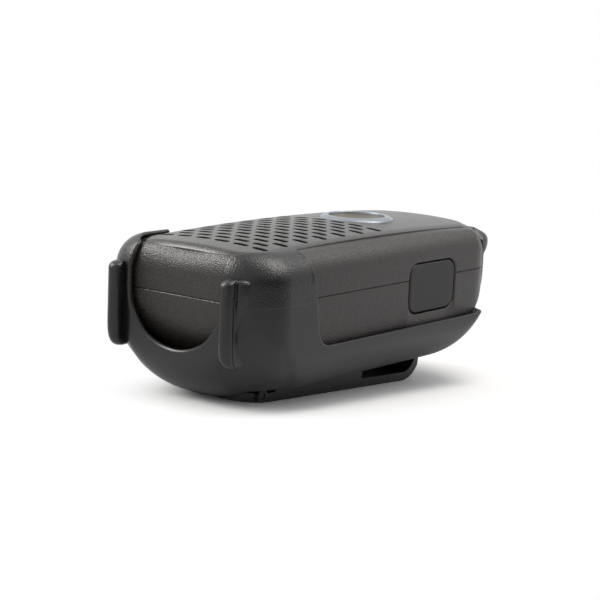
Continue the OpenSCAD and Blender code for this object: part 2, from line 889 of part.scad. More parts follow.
// Paper cone with its voice coil's former, inside the basket
module speaker_cone() {
    color("#1c1c1d")
    translate([0, speaker_y, speaker_z]) rotate_extrude() polygon([
        [0, basket_floor], [former_r, basket_floor], [former_r, basket_floor + former_h],
        [speaker_r - speaker_rim_w - basket_t, speaker_rim_t], [speaker_r - cone_edge, speaker_rim_t],
        [speaker_r - cone_edge, speaker_pad_t], [speaker_r - speaker_rim_w - basket_t, speaker_pad_t],
        [former_r, basket_floor + former_h + 2 * cone_t], [0, basket_floor + former_h + 2 * cone_t]
    ]);
}

// Foam ring that seals the speaker to the cloth
module speaker_gasket() {
    low = speaker_z + speaker_pad_t;
    color("#121213")
    translate([0, speaker_y, low]) linear_extrude(speaker_pad_top - low) difference() {
        circle(speaker_pad_r);
        circle(speaker_pad_r - speaker_pad_w);
    }
}

// Cloth behind the sound slots, bonded to the back of the panel
module speaker_cloth() {
    cloth_end = button_y - ring_flange_r - ring_flange_w;
    color("#0b0b0b")
    difference() {
        intersection() {
            crown(panel_top - panel_t);
            panel_block(-ledge_w - cloth_in, 0);
            translate([-half_w, -half_l, 0]) cube([radio_w, half_l + cloth_end, tall]);
        }
        crown(panel_top - panel_t - cloth_t);
    }
}

// Microphone capsule
module microphone() {
    color("#a6a8aa")
    translate([0, mic_y, mic_z]) cylinder(d = mic_d, h = mic_h);
}

// Rubber boot that holds the capsule to the back of the panel
module mic_boot() {
    color("#1a1a1a")
    translate([0, mic_y, mic_z]) difference() {
        translate([0, 0, -mic_wall]) cylinder(r = mic_boot_r, h = mic_boot_top - mic_z + mic_wall);
        cylinder(d = mic_d, h = mic_h);
        cylinder(d = mic_hole_d, h = tall);
    }
}

// Dished button cap with its retaining flange and its stem
module front_button() {
    low = flange_bottom + ring_gap;
    stem_z = switch_h + plunger_h - board_z + button_travel + press_gap;
    dish_r = (pow(cap_r, 2) + pow(dish_d, 2)) / (2 * dish_d);
    color("#26272a")
    translate([0, button_y, 0]) difference() {
        union() {
            translate([0, 0, low]) cylinder(r = cap_r, h = cap_top - low);
            translate([0, 0, low]) cylinder(r = cap_flange_r, h = cap_flange_t);
            translate([0, 0, stem_z]) cylinder(r = stem_r, h = low + cap_flange_t - stem_z);
        }
        translate([0, 0, cap_top - dish_d + dish_r]) sphere(dish_r);
    }
}

// Light ring round the button, clipped up into the panel, with two light pipes to the board
module button_ring() {
    bore = cap_r + cap_gap;
    color("#b9c4d4")
    translate([0, button_y, 0]) {
        rotate_extrude() polygon([
            [bore, step_z], [bore, button_h + ring_rise], [bore + ring_flat, button_h + ring_rise],
            [ring_r, button_h], [ring_r, flange_top], [ring_flange_r, flange_top],
            [ring_flange_r, flange_bottom], [cap_flange_r + cap_gap, flange_bottom],
            [cap_flange_r + cap_gap, step_z]
        ]);
        for (x = [-1, 1]) translate([x * pipe_x, 0, led_h + led_gap - board_z])
            cylinder(r = pipe_r, h = flange_bottom + board_z - led_h - led_gap + ring_flange_t / 2);
    }
}

// Tact switch under the button's stem
module button_switch() {
    color("#55585c")
    translate([0, button_y, -board_z]) {
        linear_extrude(switch_h) square(switch_w, center = true);
        cylinder(r = plunger_r, h = switch_h + plunger_h);
    }
}

// Lamps under the ring's light pipes
module status_leds() {
    color("#dfe6ee")
    for (x = [-1, 1]) translate([x * pipe_x, button_y, -board_z])
        linear_extrude(led_h) square(led_w, center = true);
}

// Talk button in the side of the rear shell, kept in by a flange
module ptt_button() {
    color("#242426")
    translate([0, ptt_y, -control_z]) {
        along(-half_w - control_proud, -control_in) rounded(ptt_l, ptt_h, control_r);
        along(-control_in, control_flange_t - control_in)
            rounded(ptt_l + 2 * control_flange_l, ptt_h + 2 * control_flange_h, control_r);
    }
}

// Switch under the board's edge, with its plunger towards a side control
module side_switch(y) {
    translate([0, y, -board_low - side_switch_h / 2]) {
        along(side_plunger - switch_x, side_plunger + side_switch_d - switch_x)
            square([side_switch_l, side_switch_h], center = true);
        along(-switch_x, cut + side_plunger - switch_x)
            square([side_plunger_l, side_plunger_h], center = true);
    }
}

// Switch behind the talk button
module ptt_switch() {
    color("#55585c") side_switch(ptt_y);
}

// Volume rocker on its own axle, which turns in the rear shell's wall
module volume_rocker() {
    color("#242426")
    translate([0, rocker_y, -control_z]) {
        along(-half_w - control_proud, shell_wall - half_w) rounded(rocker_l, rocker_h, control_r);
        for (y = [-nub_y, nub_y]) translate([0, y, 0])
            along(-axle_x, -switch_x - nub_swing - press_gap) square([nub_l, nub_h], center = true);
        translate([-axle_x, 0, 0]) cylinder(r = axle_r, h = rocker_h + 2 * axle_out, center = true);
    }
}

// Switches behind the two ends of the rocker
module volume_switches() {
    color("#55585c")
    for (y = [-nub_y, nub_y]) side_switch(rocker_y + y);
}

// Rubber cover over the charging socket, tethered along its far edge
module usb_cover() {
    color("#222224")
    union() {
        along(half_w - cover_t, half_w) cover_outline(0);
        along(half_w - cover_t - plug_d, half_w - cover_t / 2)
            mouth_outline(socket_l - 2 * plug_play, socket_h - socket_wall, plug_r);
    }
}

// Metal charging socket under the board's edge
module usb_socket() {
    mouth_x = pad_in - socket_back;
    color("#b4b7ba")
    difference() {
        along(mouth_x - socket_d, mouth_x) mouth_outline(socket_l, socket_h, socket_r);
        along(mouth_x - socket_d + socket_wall, cut + mouth_x)
            mouth_outline(socket_l - 2 * socket_wall, socket_h - 2 * socket_wall, socket_r - socket_wall);
    }
}

// Outside of the holster before its openings are cut
module holster_outside() {
    front_body(holster_out, arm_top, arm_r, cut / 2);
    rear_body(holster_out, 0);
}

// Room for the radio inside the holster, open at the front inside the lips
module holster_inside() {
    intersection() {
        front_body(holster_gap, shoulder_h + holster_gap, edge_r + holster_gap, cut / 2);
        crown(shell_top + holster_gap);
    }
    rear_body(holster_gap, 0);
    panel_block(lip_gap, shoulder_h / 2);
}

// Side window from the arm's slanted edge to past the far end, above the rim, in Y and Z
module side_window() {
    lean = tan(arm_slant);
    polygon([
        [rim_cy - rim_r * cos(arm_slant), rim_cz - rim_r * sin(arm_slant)],
        [arm_y - tall * lean, tall], [radio_l, tall], [radio_l, -rim_z], [rim_cy, -rim_z], [rim_cy, rim_cz]
    ]);
    translate([rim_cy, rim_cz]) circle(rim_r);
}

// Finger fins down the near corners, with a bead along their edges
module finger_fins() {
    fin_y = -half_l - holster_out - fin_reach + bead_r;
    for (x = [-1, 1]) translate([x * fin_x, fin_y, -fin_bottom]) {
        translate([-fin_t / 2, 0, 0]) cube([fin_t, fin_reach + corner_r, fin_bottom + fin_top]);
        cylinder(r = bead_r, h = fin_bottom + fin_top);
    }
}

// Chin under the near end, which covers the clip's hinge from that side
module end_chin() {
    l = radio_l + 2 * holster_out;
    intersection() {
        under_body(radio_w + 2 * holster_out, l, corner_r + holster_out, chin_depth,
            chin_side_r, chin_r, heel_r + holster_out, 0);
        translate([-radio_w, -cut - l / 2, -tall]) cube([2 * radio_w, cut + chin_l, tall]);
    }
}

// Lugs under the near end, which carry the clip's pin
module clip_lugs() {
    for (x = [-lug_in - lug_t, lug_in]) {
        along(x, x + lug_t) translate([pivot_y, pivot_z]) {
            circle(lug_r);
            translate([-lug_r, 0]) square([2 * lug_r, end_r / 2]);
        }
    }
}

// Moulded cradle of the holster, with its two arms, its fins and the lugs of the clip
module holster_cradle() {
    color("#252528")
    difference() {
        union() {
            holster_outside();
            end_chin();
            finger_fins();
            clip_lugs();
        }
        holster_inside();
        along(-radio_w, radio_w) side_window();
        translate([0, -half_l, 0]) across(2 * corner_r) {
            translate([0, notch_z]) circle(notch_r);
            translate([-notch_r, notch_z]) square([2 * notch_r, tall]);
        }
        translate([0, pivot_y, pivot_z]) rotate([0, 90, 0])
            cylinder(r = pin_r + lug_gap, h = clip_w, center = true);
    }
}

// Release latch at the far end: a sprung arm with a hook over the radio's edge and a finger lip
module release_latch() {
    color("#252528")
    union() {
        difference() {
            union() {
                intersection() {
                    holster_outside();
                    translate([0, half_l, 0]) across(2 * corner_r) polygon([
                        [-latch_root_w / 2, root_z], [latch_root_w / 2, root_z],
                        [latch_w / 2, -latch_low], [latch_w / 2, latch_top - latch_trim],
                        [latch_w / 2 - latch_trim, latch_top], [latch_trim - latch_w / 2, latch_top],
                        [-latch_w / 2, latch_top - latch_trim], [-latch_w / 2, -latch_low]
                    ]);
                }
                intersection() {
                    along(-latch_w / 2, latch_w / 2)
                        translate([latch_lip_y, latch_lip_z]) circle(latch_lip_r);
                    linear_extrude(tall)
                        rounded(latch_w, radio_l + 2 * (holster_out + latch_reach), latch_lip_round);
                }
            }
            holster_inside();
        }
        along(-latch_root_w / 2, latch_root_w / 2) translate([root_y, root_z]) circle(root_r);
    }
}

// Side view of the clip's plate, thumb tab and turned-up tip, from the pin, in Y and Z
module clip_section() {
    tip_h = back_h(clip_l - clip_t) - clip_gap;
    translate([-tab_l, 0]) square([tab_l + clip_l - tip_r, clip_t]);
    translate([clip_l - tip_r, tip_r]) intersection() {
        difference() {
            circle(tip_r);
            circle(tip_r - clip_t);
        }
        translate([0, -tip_r]) square([tip_r, tip_h]);
    }
}

// Belt clip, drawn level: plate, thumb tab, turned-up tip, stiffening flanges and two knuckles
module clip_lever() {
    flange_end = flange_y + flange_l;
    color("#1f1f21")
    translate([0, pivot_seat_y, 0]) difference() {
        union() {
            intersection() {
                along(-clip_w / 2, clip_w / 2) clip_section();
                linear_extrude(tall) intersection() {
                    translate([0, (clip_l - tab_l) / 2]) rounded(clip_w, clip_l + tab_l, clip_corner_r);
                    translate([0, (clip_l - tab_l) / 2 + tab_corner_r])
                        rounded(clip_w, clip_l + tab_l + 2 * tab_corner_r, tab_corner_r);
                }
            }
            for (x = [-clip_w / 2, clip_w / 2 - flange_t]) along(x, x + flange_t) polygon([
                [flange_y, clip_t / 2], [flange_end, clip_t / 2],
                [flange_end, back_h(flange_end) - clip_gap], [flange_y, back_h(flange_y) - clip_gap]
            ]);
            for (x = [-clip_w / 2, knuckle_in]) along(x, x + clip_w / 2 - knuckle_in)
                translate([0, knuckle_r]) circle(knuckle_r);
        }
        translate([-knuckle_in, -knuckle_r - gap_before, -cut])
            cube([2 * knuckle_in, knuckle_r + gap_before + gap_l, tall]);
        translate([coil_half - wire_d / 2 - wire_gap, 0, -cut])
            cube([wire_d + 2 * wire_gap, gap_l + leg_down, tall]);
        translate([0, 0, knuckle_r]) rotate([0, 90, 0])
            cylinder(r = pin_r + pin_gap, h = 2 * clip_w, center = true);
    }
}

// Steel pin through the lugs and the clip
module clip_pin() {
    color("#9b9ea2")
    translate([0, pivot_seat_y, knuckle_r]) rotate([0, 90, 0])
        cylinder(r = pin_r, h = pin_l, center = true);
}

// Middle line of the torsion spring: a leg down from the holster, the turns, a leg into the clip
spring_path = concat(
    [[-coil_half, -coil_r, leg_up]],
    [for (i = [0 : coil_turns * rings_per_turn])
        let (turn = i / rings_per_turn, angle = 180 + turn * 360)
        [turn * coil_pitch - coil_half, coil_r * cos(angle), coil_r * sin(angle)]],
    [[coil_half, gap_l + leg_down - wire_d, -coil_r]]
);
spring_last = len(spring_path) - 1;

// Direction of the wire at a step of its path: the legs run straight on into the turns
function unit(v) = v / norm(v);
function heading(i) =
    i <= 1 ? unit(spring_path[1] - spring_path[0])
    : i >= spring_last - 1 ? unit(spring_path[spring_last] - spring_path[spring_last - 1])
    : unit(spring_path[i + 1] - spring_path[i - 1]);

// Ring of points round the wire at a step of its path, and the number of one of its points
function wire_ring(p, t) =
    let (side = unit([1, 0, 0] - t[0] * t), up = cross(t, side))
    [for (k = [0 : wire_sides - 1])
        let (angle = k * 360 / wire_sides)
        p + wire_d / 2 * (cos(angle) * side + sin(angle) * up)];
function wire_point(i, k) = i * wire_sides + k % wire_sides;

// Least gap between turns of the spring, measured on its path
spring_gaps = [for (i = [1 : spring_last - 1], j = [1 : spring_last - 1])
    if (j - i >= rings_per_turn / 2) norm(spring_path[i] - spring_path[j]) - wire_d];
echo(clip_spring_least_gap = min(spring_gaps));

// Torsion spring that closes the clip
module clip_spring() {
    points = [for (i = [0 : spring_last]) each wire_ring(spring_path[i], heading(i))];
    ends = [for (k = [1 : wire_sides - 2]) each [
        [wire_point(0, 0), wire_point(0, k), wire_point(0, k + 1)],
        [wire_point(spring_last, 0), wire_point(spring_last, k + 1), wire_point(spring_last, k)]
    ]];
    sides = [for (i = [0 : spring_last - 1], k = [0 : wire_sides - 1]) each [
        [wire_point(i, k), wire_point(i + 1, k), wire_point(i + 1, k + 1)],
        [wire_point(i, k), wire_point(i + 1, k + 1), wire_point(i, k + 1)]
    ]];
    color("#9b9ea2")
    translate([0, pivot_seat_y, knuckle_r]) polyhedron(points, concat(ends, sides));
}

// From the radio's frame to the frame in which the clip lies flat
module seated() {
    translate([0, 0, rest_h]) rotate([clip_slant, 0, 0]) children();
}

seated() front_shell();
seated() front_panel();
seated() rear_shell();
seated() shell_gasket();
seated() shell_screws();
seated() battery_door();
seated() battery_pack();
seated() battery_contacts();
seated() main_board();
seated() board_screws();
seated() rf_shield();
seated() antenna();
seated() speaker_frame();
seated() speaker_magnet();
seated() speaker_cone();
seated() speaker_gasket();
seated() speaker_cloth();
seated() microphone();
seated() mic_boot();
seated() front_button();
seated() button_ring();
seated() button_switch();
seated() status_leds();
seated() ptt_button();
seated() ptt_switch();
seated() volume_rocker();
seated() volume_switches();
seated() usb_cover();
seated() usb_socket();
seated() holster_cradle();
seated() release_latch();
clip_lever();
clip_pin();
clip_spring();
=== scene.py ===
import bpy, bmesh, math
import numpy as np
from mathutils import Matrix, Vector


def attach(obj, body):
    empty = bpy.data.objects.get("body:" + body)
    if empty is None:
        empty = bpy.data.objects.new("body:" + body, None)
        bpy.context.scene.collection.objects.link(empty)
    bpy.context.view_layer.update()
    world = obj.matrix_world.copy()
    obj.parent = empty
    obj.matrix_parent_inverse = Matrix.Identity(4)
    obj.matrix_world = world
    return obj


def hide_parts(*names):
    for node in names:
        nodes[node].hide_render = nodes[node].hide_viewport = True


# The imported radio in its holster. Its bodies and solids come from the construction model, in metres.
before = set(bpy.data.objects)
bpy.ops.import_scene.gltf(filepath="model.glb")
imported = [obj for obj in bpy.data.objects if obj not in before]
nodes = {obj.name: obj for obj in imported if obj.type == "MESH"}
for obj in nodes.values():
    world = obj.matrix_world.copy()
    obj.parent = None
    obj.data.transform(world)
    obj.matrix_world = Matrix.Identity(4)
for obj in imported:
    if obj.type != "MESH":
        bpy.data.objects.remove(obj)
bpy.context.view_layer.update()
root = "radio_and_cradle"

# What is sealed inside the casing: a green circuit board with its screws, shield can and aerial, the
# speaker, the microphone, the battery pack and the small switches. They and the clip's pin and spring
# keep their solids and get the finish of the real stuff: solder mask, steel, brass, paper, felt, rubber.
def node_group(name, inputs, outputs):
    group = bpy.data.node_groups.new(name, "ShaderNodeTree")
    for label, value in inputs:
        socket = group.interface.new_socket(label, in_out="INPUT", socket_type="NodeSocketFloat")
        socket.default_value = value
    for label in outputs:
        group.interface.new_socket(label, in_out="OUTPUT", socket_type="NodeSocketFloat")
    return group, group.nodes.new("NodeGroupInput"), group.nodes.new("NodeGroupOutput")


def feed(tree, socket, value):
    """Links an output to a socket, or sets the socket to a constant."""
    if isinstance(value, bpy.types.NodeSocket):
        tree.links.new(value, socket)
    else:
        socket.default_value = value


def texture(tree, kind, vector, **sockets):
    made = tree.nodes.new(kind)
    tree.links.new(vector, made.inputs["Vector"])
    for label, value in sockets.items():
        feed(tree, made.inputs[label], value)
    return made


def maths(tree, operation, *values):
    made = tree.nodes.new("ShaderNodeMath")
    made.operation = operation
    for socket, value in zip(made.inputs, values):
        feed(tree, socket, value)
    return made.outputs[0]


def mixed(tree, factor, a, b):
    """A colour between two others, each a constant or an output."""
    made = tree.nodes.new("ShaderNodeMix")
    made.data_type = "RGBA"
    for label, value in (("Factor", factor), ("A", a), ("B", b)):
        feed(tree, made.inputs[label], value)
    return made.outputs["Result"]


# Moulded or etched grain: small cells over soft noise, as a height, and slow patches of sheen and dust
speck_scale, speck_level, speck_contrast = 17.0, 0.62, 6.0
grain, grain_in, grain_out = node_group(
    "moulded_grain", [("Fineness", 3000.0), ("Pits", 0.5), ("Patches", 70.0)], ["Height", "Sheen", "Dust"])
place = grain.nodes.new("ShaderNodeTexCoord").outputs["Object"]
cells = texture(grain, "ShaderNodeTexVoronoi", place, Scale=grain_in.outputs["Fineness"])
cloud = texture(grain, "ShaderNodeTexNoise", place, Scale=grain_in.outputs["Fineness"], Detail=2.0)
slow = texture(grain, "ShaderNodeTexNoise", place, Scale=grain_in.outputs["Patches"], Detail=3.0)
specks = texture(grain, "ShaderNodeTexNoise", place,
                 Scale=maths(grain, "MULTIPLY", grain_in.outputs["Patches"], speck_scale))
pitted = maths(grain, "MULTIPLY", cells.outputs["Distance"], grain_in.outputs["Pits"])
grain.links.new(maths(grain, "ADD", cloud.outputs["Fac"], pitted), grain_out.inputs["Height"])
grain.links.new(slow.outputs["Fac"], grain_out.inputs["Sheen"])
dusty = maths(grain, "MULTIPLY", maths(grain, "SUBTRACT", specks.outputs["Fac"], speck_level), speck_contrast)
grain.links.new(maths(grain, "MAXIMUM", maths(grain, "MINIMUM", dusty, 1.0), 0.0), grain_out.inputs["Dust"])

dust_colour, coat_rough = (0.35, 0.34, 0.32, 1), 0.12
tint_gain, tint_lift = 1.5, 0.004


def finish(name, colour, rough, fineness=3000.0, pits=0.5, patches=70.0, depth=2e-5, vary=0.12, dust=0.05,
           metal=0.0, tint=None, spec=0.5, coat=0.0):
    """A material with grain, whose depth is in metres, patches of sheen and a little dust."""
    made = bpy.data.materials.new(name)
    made.use_nodes = True
    tree = made.node_tree
    surface = tree.nodes["Principled BSDF"]
    surface.inputs["Metallic"].default_value = metal
    surface.inputs["Specular IOR Level"].default_value = spec
    surface.inputs["Coat Weight"].default_value = coat
    surface.inputs["Coat Roughness"].default_value = coat_rough
    cast = tree.nodes.new("ShaderNodeGroup")
    cast.node_tree = grain
    for label, value in (("Fineness", fineness), ("Pits", pits), ("Patches", patches)):
        cast.inputs[label].default_value = value
    # roughness drifts with the patches of sheen
    drift = maths(tree, "MULTIPLY_ADD", cast.outputs["Sheen"], 2 * vary, rough - vary)
    tree.links.new(drift, surface.inputs["Roughness"])
    # colour drifts towards the tint, and a little dust lies on it
    tint = tint or [min(1, tint_gain * c + tint_lift) for c in colour]
    shade = mixed(tree, cast.outputs["Sheen"], (*colour, 1), (*tint, 1))
    dusted = mixed(tree, maths(tree, "MULTIPLY", cast.outputs["Dust"], dust), shade, dust_colour)
    tree.links.new(dusted, surface.inputs["Base Color"])
    bump = tree.nodes.new("ShaderNodeBump")
    bump.inputs["Strength"].default_value = 1.0
    bump.inputs["Distance"].default_value = depth
    tree.links.new(cast.outputs["Height"], bump.inputs["Height"])
    tree.links.new(bump.outputs["Normal"], surface.inputs["Normal"])
    return made


def paint_node(name, made):
    nodes[name].data.materials.clear()
    nodes[name].data.materials.append(made)


inner_finishes = [
    (["shell_screws", "board_screws"],
     finish("plain_steel", (0.56, 0.57, 0.58), 0.32, 9000, 0.2, 300, 4e-6, metal=1.0, dust=0.02)),
    (["rf_shield", "usb_socket", "speaker_frame", "microphone"],
     finish("tinned_steel", (0.64, 0.65, 0.66), 0.28, 5000, 0.1, 200, 4e-6, metal=1.0, dust=0.02)),
    (["main_board"],
     finish("solder_mask", (0.03, 0.15, 0.07), 0.35, 2500, 0.3, 400, 8e-6, tint=(0.05, 0.2, 0.09), coat=0.3)),
    (["clip_pin", "clip_spring"],
     finish("blackened_steel", (0.03, 0.03, 0.032), 0.4, 9000, 0.2, 300, 4e-6, metal=0.6, dust=0.02)),
    (["antenna", "battery_contacts"],
     finish("plated_brass", (0.72, 0.53, 0.24), 0.3, 6000, 0.2, 300, 4e-6, metal=1.0)),
    (["battery_pack"], finish("shrink_wrap", (0.09, 0.11, 0.14), 0.3, 900, 0.1, 120, 1.5e-5, coat=0.4)),
    (["speaker_magnet"], finish("sintered_magnet", (0.17, 0.17, 0.18), 0.55, 4000, 0.8, 200, 3e-5)),
    (["speaker_cone"], finish("pressed_paper", (0.035, 0.034, 0.033), 0.85, 2600, 0.2, 500, 6e-5)),
    (["speaker_cloth", "speaker_gasket"],
     finish("felt_cloth", (0.006, 0.006, 0.006), 0.95, 5200, 1.0, 300, 1.2e-4, spec=0.15, dust=0.0)),
    (["button_switch", "ptt_switch", "volume_switches"],
     finish("switch_body", (0.14, 0.145, 0.15), 0.5, 3000, 0.4, 200, 1.5e-5)),
    (["status_leds"], finish("clear_lamp", (0.78, 0.82, 0.86), 0.15, 2000, 0.1, 200, 4e-6, coat=0.5)),
    (["shell_gasket", "mic_boot"], finish("seal_rubber", (0.014, 0.014, 0.014), 0.75, 3500, 0.6, 150, 2e-5)),
]
for names, made in inner_finishes:
    for name in names:
        paint_node(name, made)

# Rear half of the casing: a black moulded tray, finely grained, whose back curves up to both ends.
# It is closed by the battery door, and its walls have windows for the side controls and the socket.
slant = math.radians(3.4)
rest = 27.88425
radio_w, radio_l, corner = 46.0, 100.0, 10.0
rear_depth, side_r, end_r, heel_r, heel_out = 20.4, 8.0, 19.0, 19.8, 0.2
back_r, brim_z, shell_wall = 4.5, -1.0, 1.8
weld, crease, bevel_steps = 2e-6, math.radians(38), 3
shell_black = finish("grained_shell", (0.017, 0.0138, 0.0126), 0.33, 3200, 0.9, 60, 8e-5, 0.06, 0.02,
                     spec=0.4)


def seated(points):
    """From the radio's own frame, in millimetres, to the frame in which the clip lies flat, in metres."""
    x, y, z = np.moveaxis(np.asarray(points, float), -1, 0)
    c, s = math.cos(slant), math.sin(slant)
    return np.stack([x, y * c - z * s, y * s + z * c + rest], -1) / 1000


def round_loop(w, l, r, arc=14, ends=14, sides=44):
    """Points round a rectangle with round corners, anticlockwise from the far end of its +X side."""
    points = []
    corners = ((1, 1, ends), (-1, 1, sides), (-1, -1, ends), (1, -1, sides))
    for k, (cx, cy, count) in enumerate(corners):
        turn = np.radians(90 * k + np.linspace(0, 90, arc + 1))
        bend = np.stack([cx * (w / 2 - r) + r * np.cos(turn), cy * (l / 2 - r) + r * np.sin(turn)], -1)
        points.append(bend)
        # the straight that leads to the next corner
        nx, ny, _ = corners[(k + 1) % 4]
        turn = math.radians(90 * (k + 1))
        goal = np.array([nx * (w / 2 - r) + r * math.cos(turn), ny * (l / 2 - r) + r * math.sin(turn)])
        points.append(bend[-1] + (goal - bend[-1]) * np.linspace(0, 1, count + 1)[1:-1, None])
    return np.concatenate(points)


def at(loop, z):
    """A loop in the plane raised to a height, or to a height for each of its points."""
    return np.concatenate([loop, np.broadcast_to(np.asarray(z, float).reshape(-1, 1), (len(loop), 1))], 1)


def bands(count, n, closed=False, caps=(False, False)):
    """Faces between rows of n points that each run round a piece. Its first and last row can be filled."""
    faces = []
    for j in range(count if closed else count - 1):
        a, b = j * n, (j + 1) % count * n
        faces += [(a + i, a + (i + 1) % n, b + (i + 1) % n, b + i) for i in range(n)]
    if caps[0]:
        faces.append(tuple(range(n)))
    if caps[1]:
        faces.append(tuple(range((count - 1) * n, count * n)))
    return faces


def smooth(mesh):
    mesh.shade_smooth()
    mesh.set_sharp_from_angle(angle=crease)


def linked(name, data):
    made = bpy.data.objects.new(name, data)
    bpy.context.scene.collection.objects.link(made)
    return made


def solid(name, points, faces):
    """A piece from points in metres, its faces turned outwards."""
    mesh = bpy.data.meshes.new(name)
    mesh.from_pydata([tuple(p) for p in points], [], faces)
    work = bmesh.new()
    work.from_mesh(mesh)
    bmesh.ops.remove_doubles(work, verts=work.verts, dist=weld)
    bmesh.ops.recalc_face_normals(work, faces=work.faces)
    work.to_mesh(mesh)
    work.free()
    smooth(mesh)
    return linked(name, mesh)


def skin(name, rows, closed=False, caps=(False, False)):
    """A piece over rows of points in the radio's own frame."""
    rows = np.asarray(rows, float)
    return solid(name, seated(rows.reshape(-1, 3)), bands(*rows.shape[:2], closed, caps))


def baked(piece):
    """The piece with its modifiers turned into plain mesh."""
    seen = piece.evaluated_get(bpy.context.evaluated_depsgraph_get())
    mesh = bpy.data.meshes.new_from_object(seen)
    piece.modifiers.clear()
    piece.data = mesh
    smooth(mesh)
    return piece


def carve(piece, *cutters):
    """The piece less its cutters. A cutter that has a finish gives it to the walls that it leaves."""
    for cutter in cutters:
        tool = piece.modifiers.new("carve", "BOOLEAN")
        tool.operation, tool.object, tool.solver = "DIFFERENCE", cutter, "EXACT"
        tool.material_mode = "TRANSFER" if cutter.data.materials else "INDEX"
    return baked(piece)


def thicken(piece, wall):
    made = piece.modifiers.new("wall", "SOLIDIFY")
    made.thickness, made.offset, made.use_even_offset = wall / 1000, -1, True
    return piece


def soften(piece, width, angle=crease):
    made = piece.modifiers.new("edges", "BEVEL")
    made.width, made.segments, made.limit_method = width / 1000, bevel_steps, "ANGLE"
    made.angle_limit, made.harden_normals = angle, True
    return piece


def dress(piece, made, body, slot, *replaced):
    if made.name not in piece.data.materials:
        piece.data.materials.clear()
        piece.data.materials.append(made)
    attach(piece, body)
    if replaced:
        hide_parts(*replaced)
    return piece


def gone(*pieces):
    for piece in pieces:
        bpy.data.objects.remove(piece)


def side_prism(name, y, z, l, h, r, steps):
    """A rounded block in a side wall: for each x, how far its outline is grown there."""
    rows = []
    for x, grow in steps:
        flat = round_loop(l + 2 * grow, h + 2 * grow, r + grow, arc=8, ends=6, sides=6)
        rows.append(np.stack([np.full(len(flat), x), y + flat[:, 0], z + flat[:, 1]], -1))
    return skin(name, rows, caps=(True, True))


def blend(value, a, b):
    """Runs from 0 where a value is a to 1 where it is b, with soft ends."""
    t = np.clip((value - a) / (b - a), 0, 1)
    return t * t * (3 - 2 * t)


def under(flat, w, l, r, depth, side, end, heel, power=5):
    """Height of an underside that curves up to its sides, ends and corners, with soft runs between them."""
    x, y = np.abs(flat[..., 0]), np.abs(flat[..., 1])
    diagonal = (w + l - 4 * r) / 2 / math.sqrt(2) + r + heel_out
    rise = 0
    for off, bend in ((x - w / 2, side), (y - l / 2, end), ((x + y) / math.sqrt(2) - diagonal, heel)):
        rise = rise + (bend - np.sqrt(bend ** 2 - np.clip(off + bend, 0, bend) ** 2)) ** power
    return rise ** (1 / power) - depth


edge = round_loop(radio_w, radio_l, corner)
foot = round_loop(radio_w - 2 * side_r, radio_l - 2 * end_r, back_r)
rows = []
for swing in np.radians(np.linspace(0, 90, 25)):
    flat = edge + (foot - edge) * (1 - math.sin(swing))
    height = under(flat, radio_w, radio_l, corner, rear_depth, side_r, end_r, heel_r)
    rows.append(at(flat, np.minimum(height, brim_z)))
# the wall's upper edge is a little round: how far in, and the height
for inset, z in ((0.0, -0.9), (0.0, -0.22), (0.06, -0.06), (0.3, 0.0)):
    rows.append(at(edge * (1 - 2 * inset / radio_w), z))
rear = baked(thicken(skin("rear_case", rows, caps=(True, False)), shell_wall))
# windows and pocket, by the outline's growth at each x: they open a little at the wall's face
controls, control_z, window_r = {"talk": (-8.0, 24.0, 7.6), "volume": (22.0, 18.0, 7.0)}, -5.5, 1.3
window_steps = [(-25, 0.75), (-23.02, 0.55), (-22.9, 0.38), (-22.75, 0.3), (-20.5, 0.3)]
windows = [side_prism(name + "_window", y, control_z, l, h, window_r, window_steps)
           for name, (y, l, h) in controls.items()]
cover_y, cover_z, cover_l, cover_h, cover_r = 19.7, -2.3, 20.0, 12.3, 3.2
cover_form = (cover_y, cover_z, cover_l, cover_h, cover_r)
pocket_steps = [(21.4, 0.3), (22.7, 0.3), (22.88, 0.36), (23.02, 0.55), (25, 2.0)]
pocket = side_prism("cover_pocket", *cover_form, pocket_steps)
socket_z, mouth_l, mouth_h, mouth_r, mouth_gap = -4.0, 8.2, 2.8, 0.6, 1.2
mouth = side_prism("socket_mouth", cover_y, socket_z, mouth_l, mouth_h, mouth_r,
                   [(18, mouth_gap), (24, mouth_gap)])
carve(rear, *windows, pocket, mouth)
dress(rear, shell_black, root, "radio_shell", "rear_shell")
# the pocket's floor, a plate behind the wall with the socket's mouth in it
pad_grow = 1.5
pad = side_prism("socket_pad", *cover_form, [(20.0, pad_grow), (21.41, pad_grow)])
dress(carve(pad, mouth), shell_black, root, "radio_shell")

# Front half of the casing, of the same grained black plastic. Its round shoulder runs up to a recess
# for the front panel, and a fine shadow line parts it from the rear half.
edge_r, brow_r, shoulder = 6.0, 8.6, 11.3
crown_across, crown_along = 160.0, 860.0
shell_apex, panel_apex, panel_t = 12.4, 12.9, 1.6
panel_seat = panel_apex - panel_t
panel_w, panel_l, panel_r = 36.0, 95.0, 7.5
recess_gap, line_gap, ledge_w, ledge_t = 0.15, 0.1, 1.8, 1.3
line_top, inner_top, inner_bend, inner_bend_z = 0.36, 4.8, 3.4, 7.2


def crown(apex, points):
    """Height of a front that is crowned across and along, at points in plan."""
    x, y = points[:, 0], points[:, 1]
    across = crown_along - crown_across + np.sqrt(crown_across ** 2 - x * x)
    return apex - crown_along + np.sqrt(across ** 2 - y * y)


def soft_least(a, b, k=0.5):
    """The lesser of two heights, with a round of width k where they meet."""
    mix = np.clip(0.5 + 0.5 * (b - a) / k, 0, 1)
    return b + (a - b) * mix - k * mix * (1 - mix)


def panel_loop(grow):
    return round_loop(panel_w + 2 * grow, panel_l + 2 * grow, panel_r + grow)


def inset_edge(off):
    return edge * (1 - 2 * off / np.array([radio_w, radio_l]))


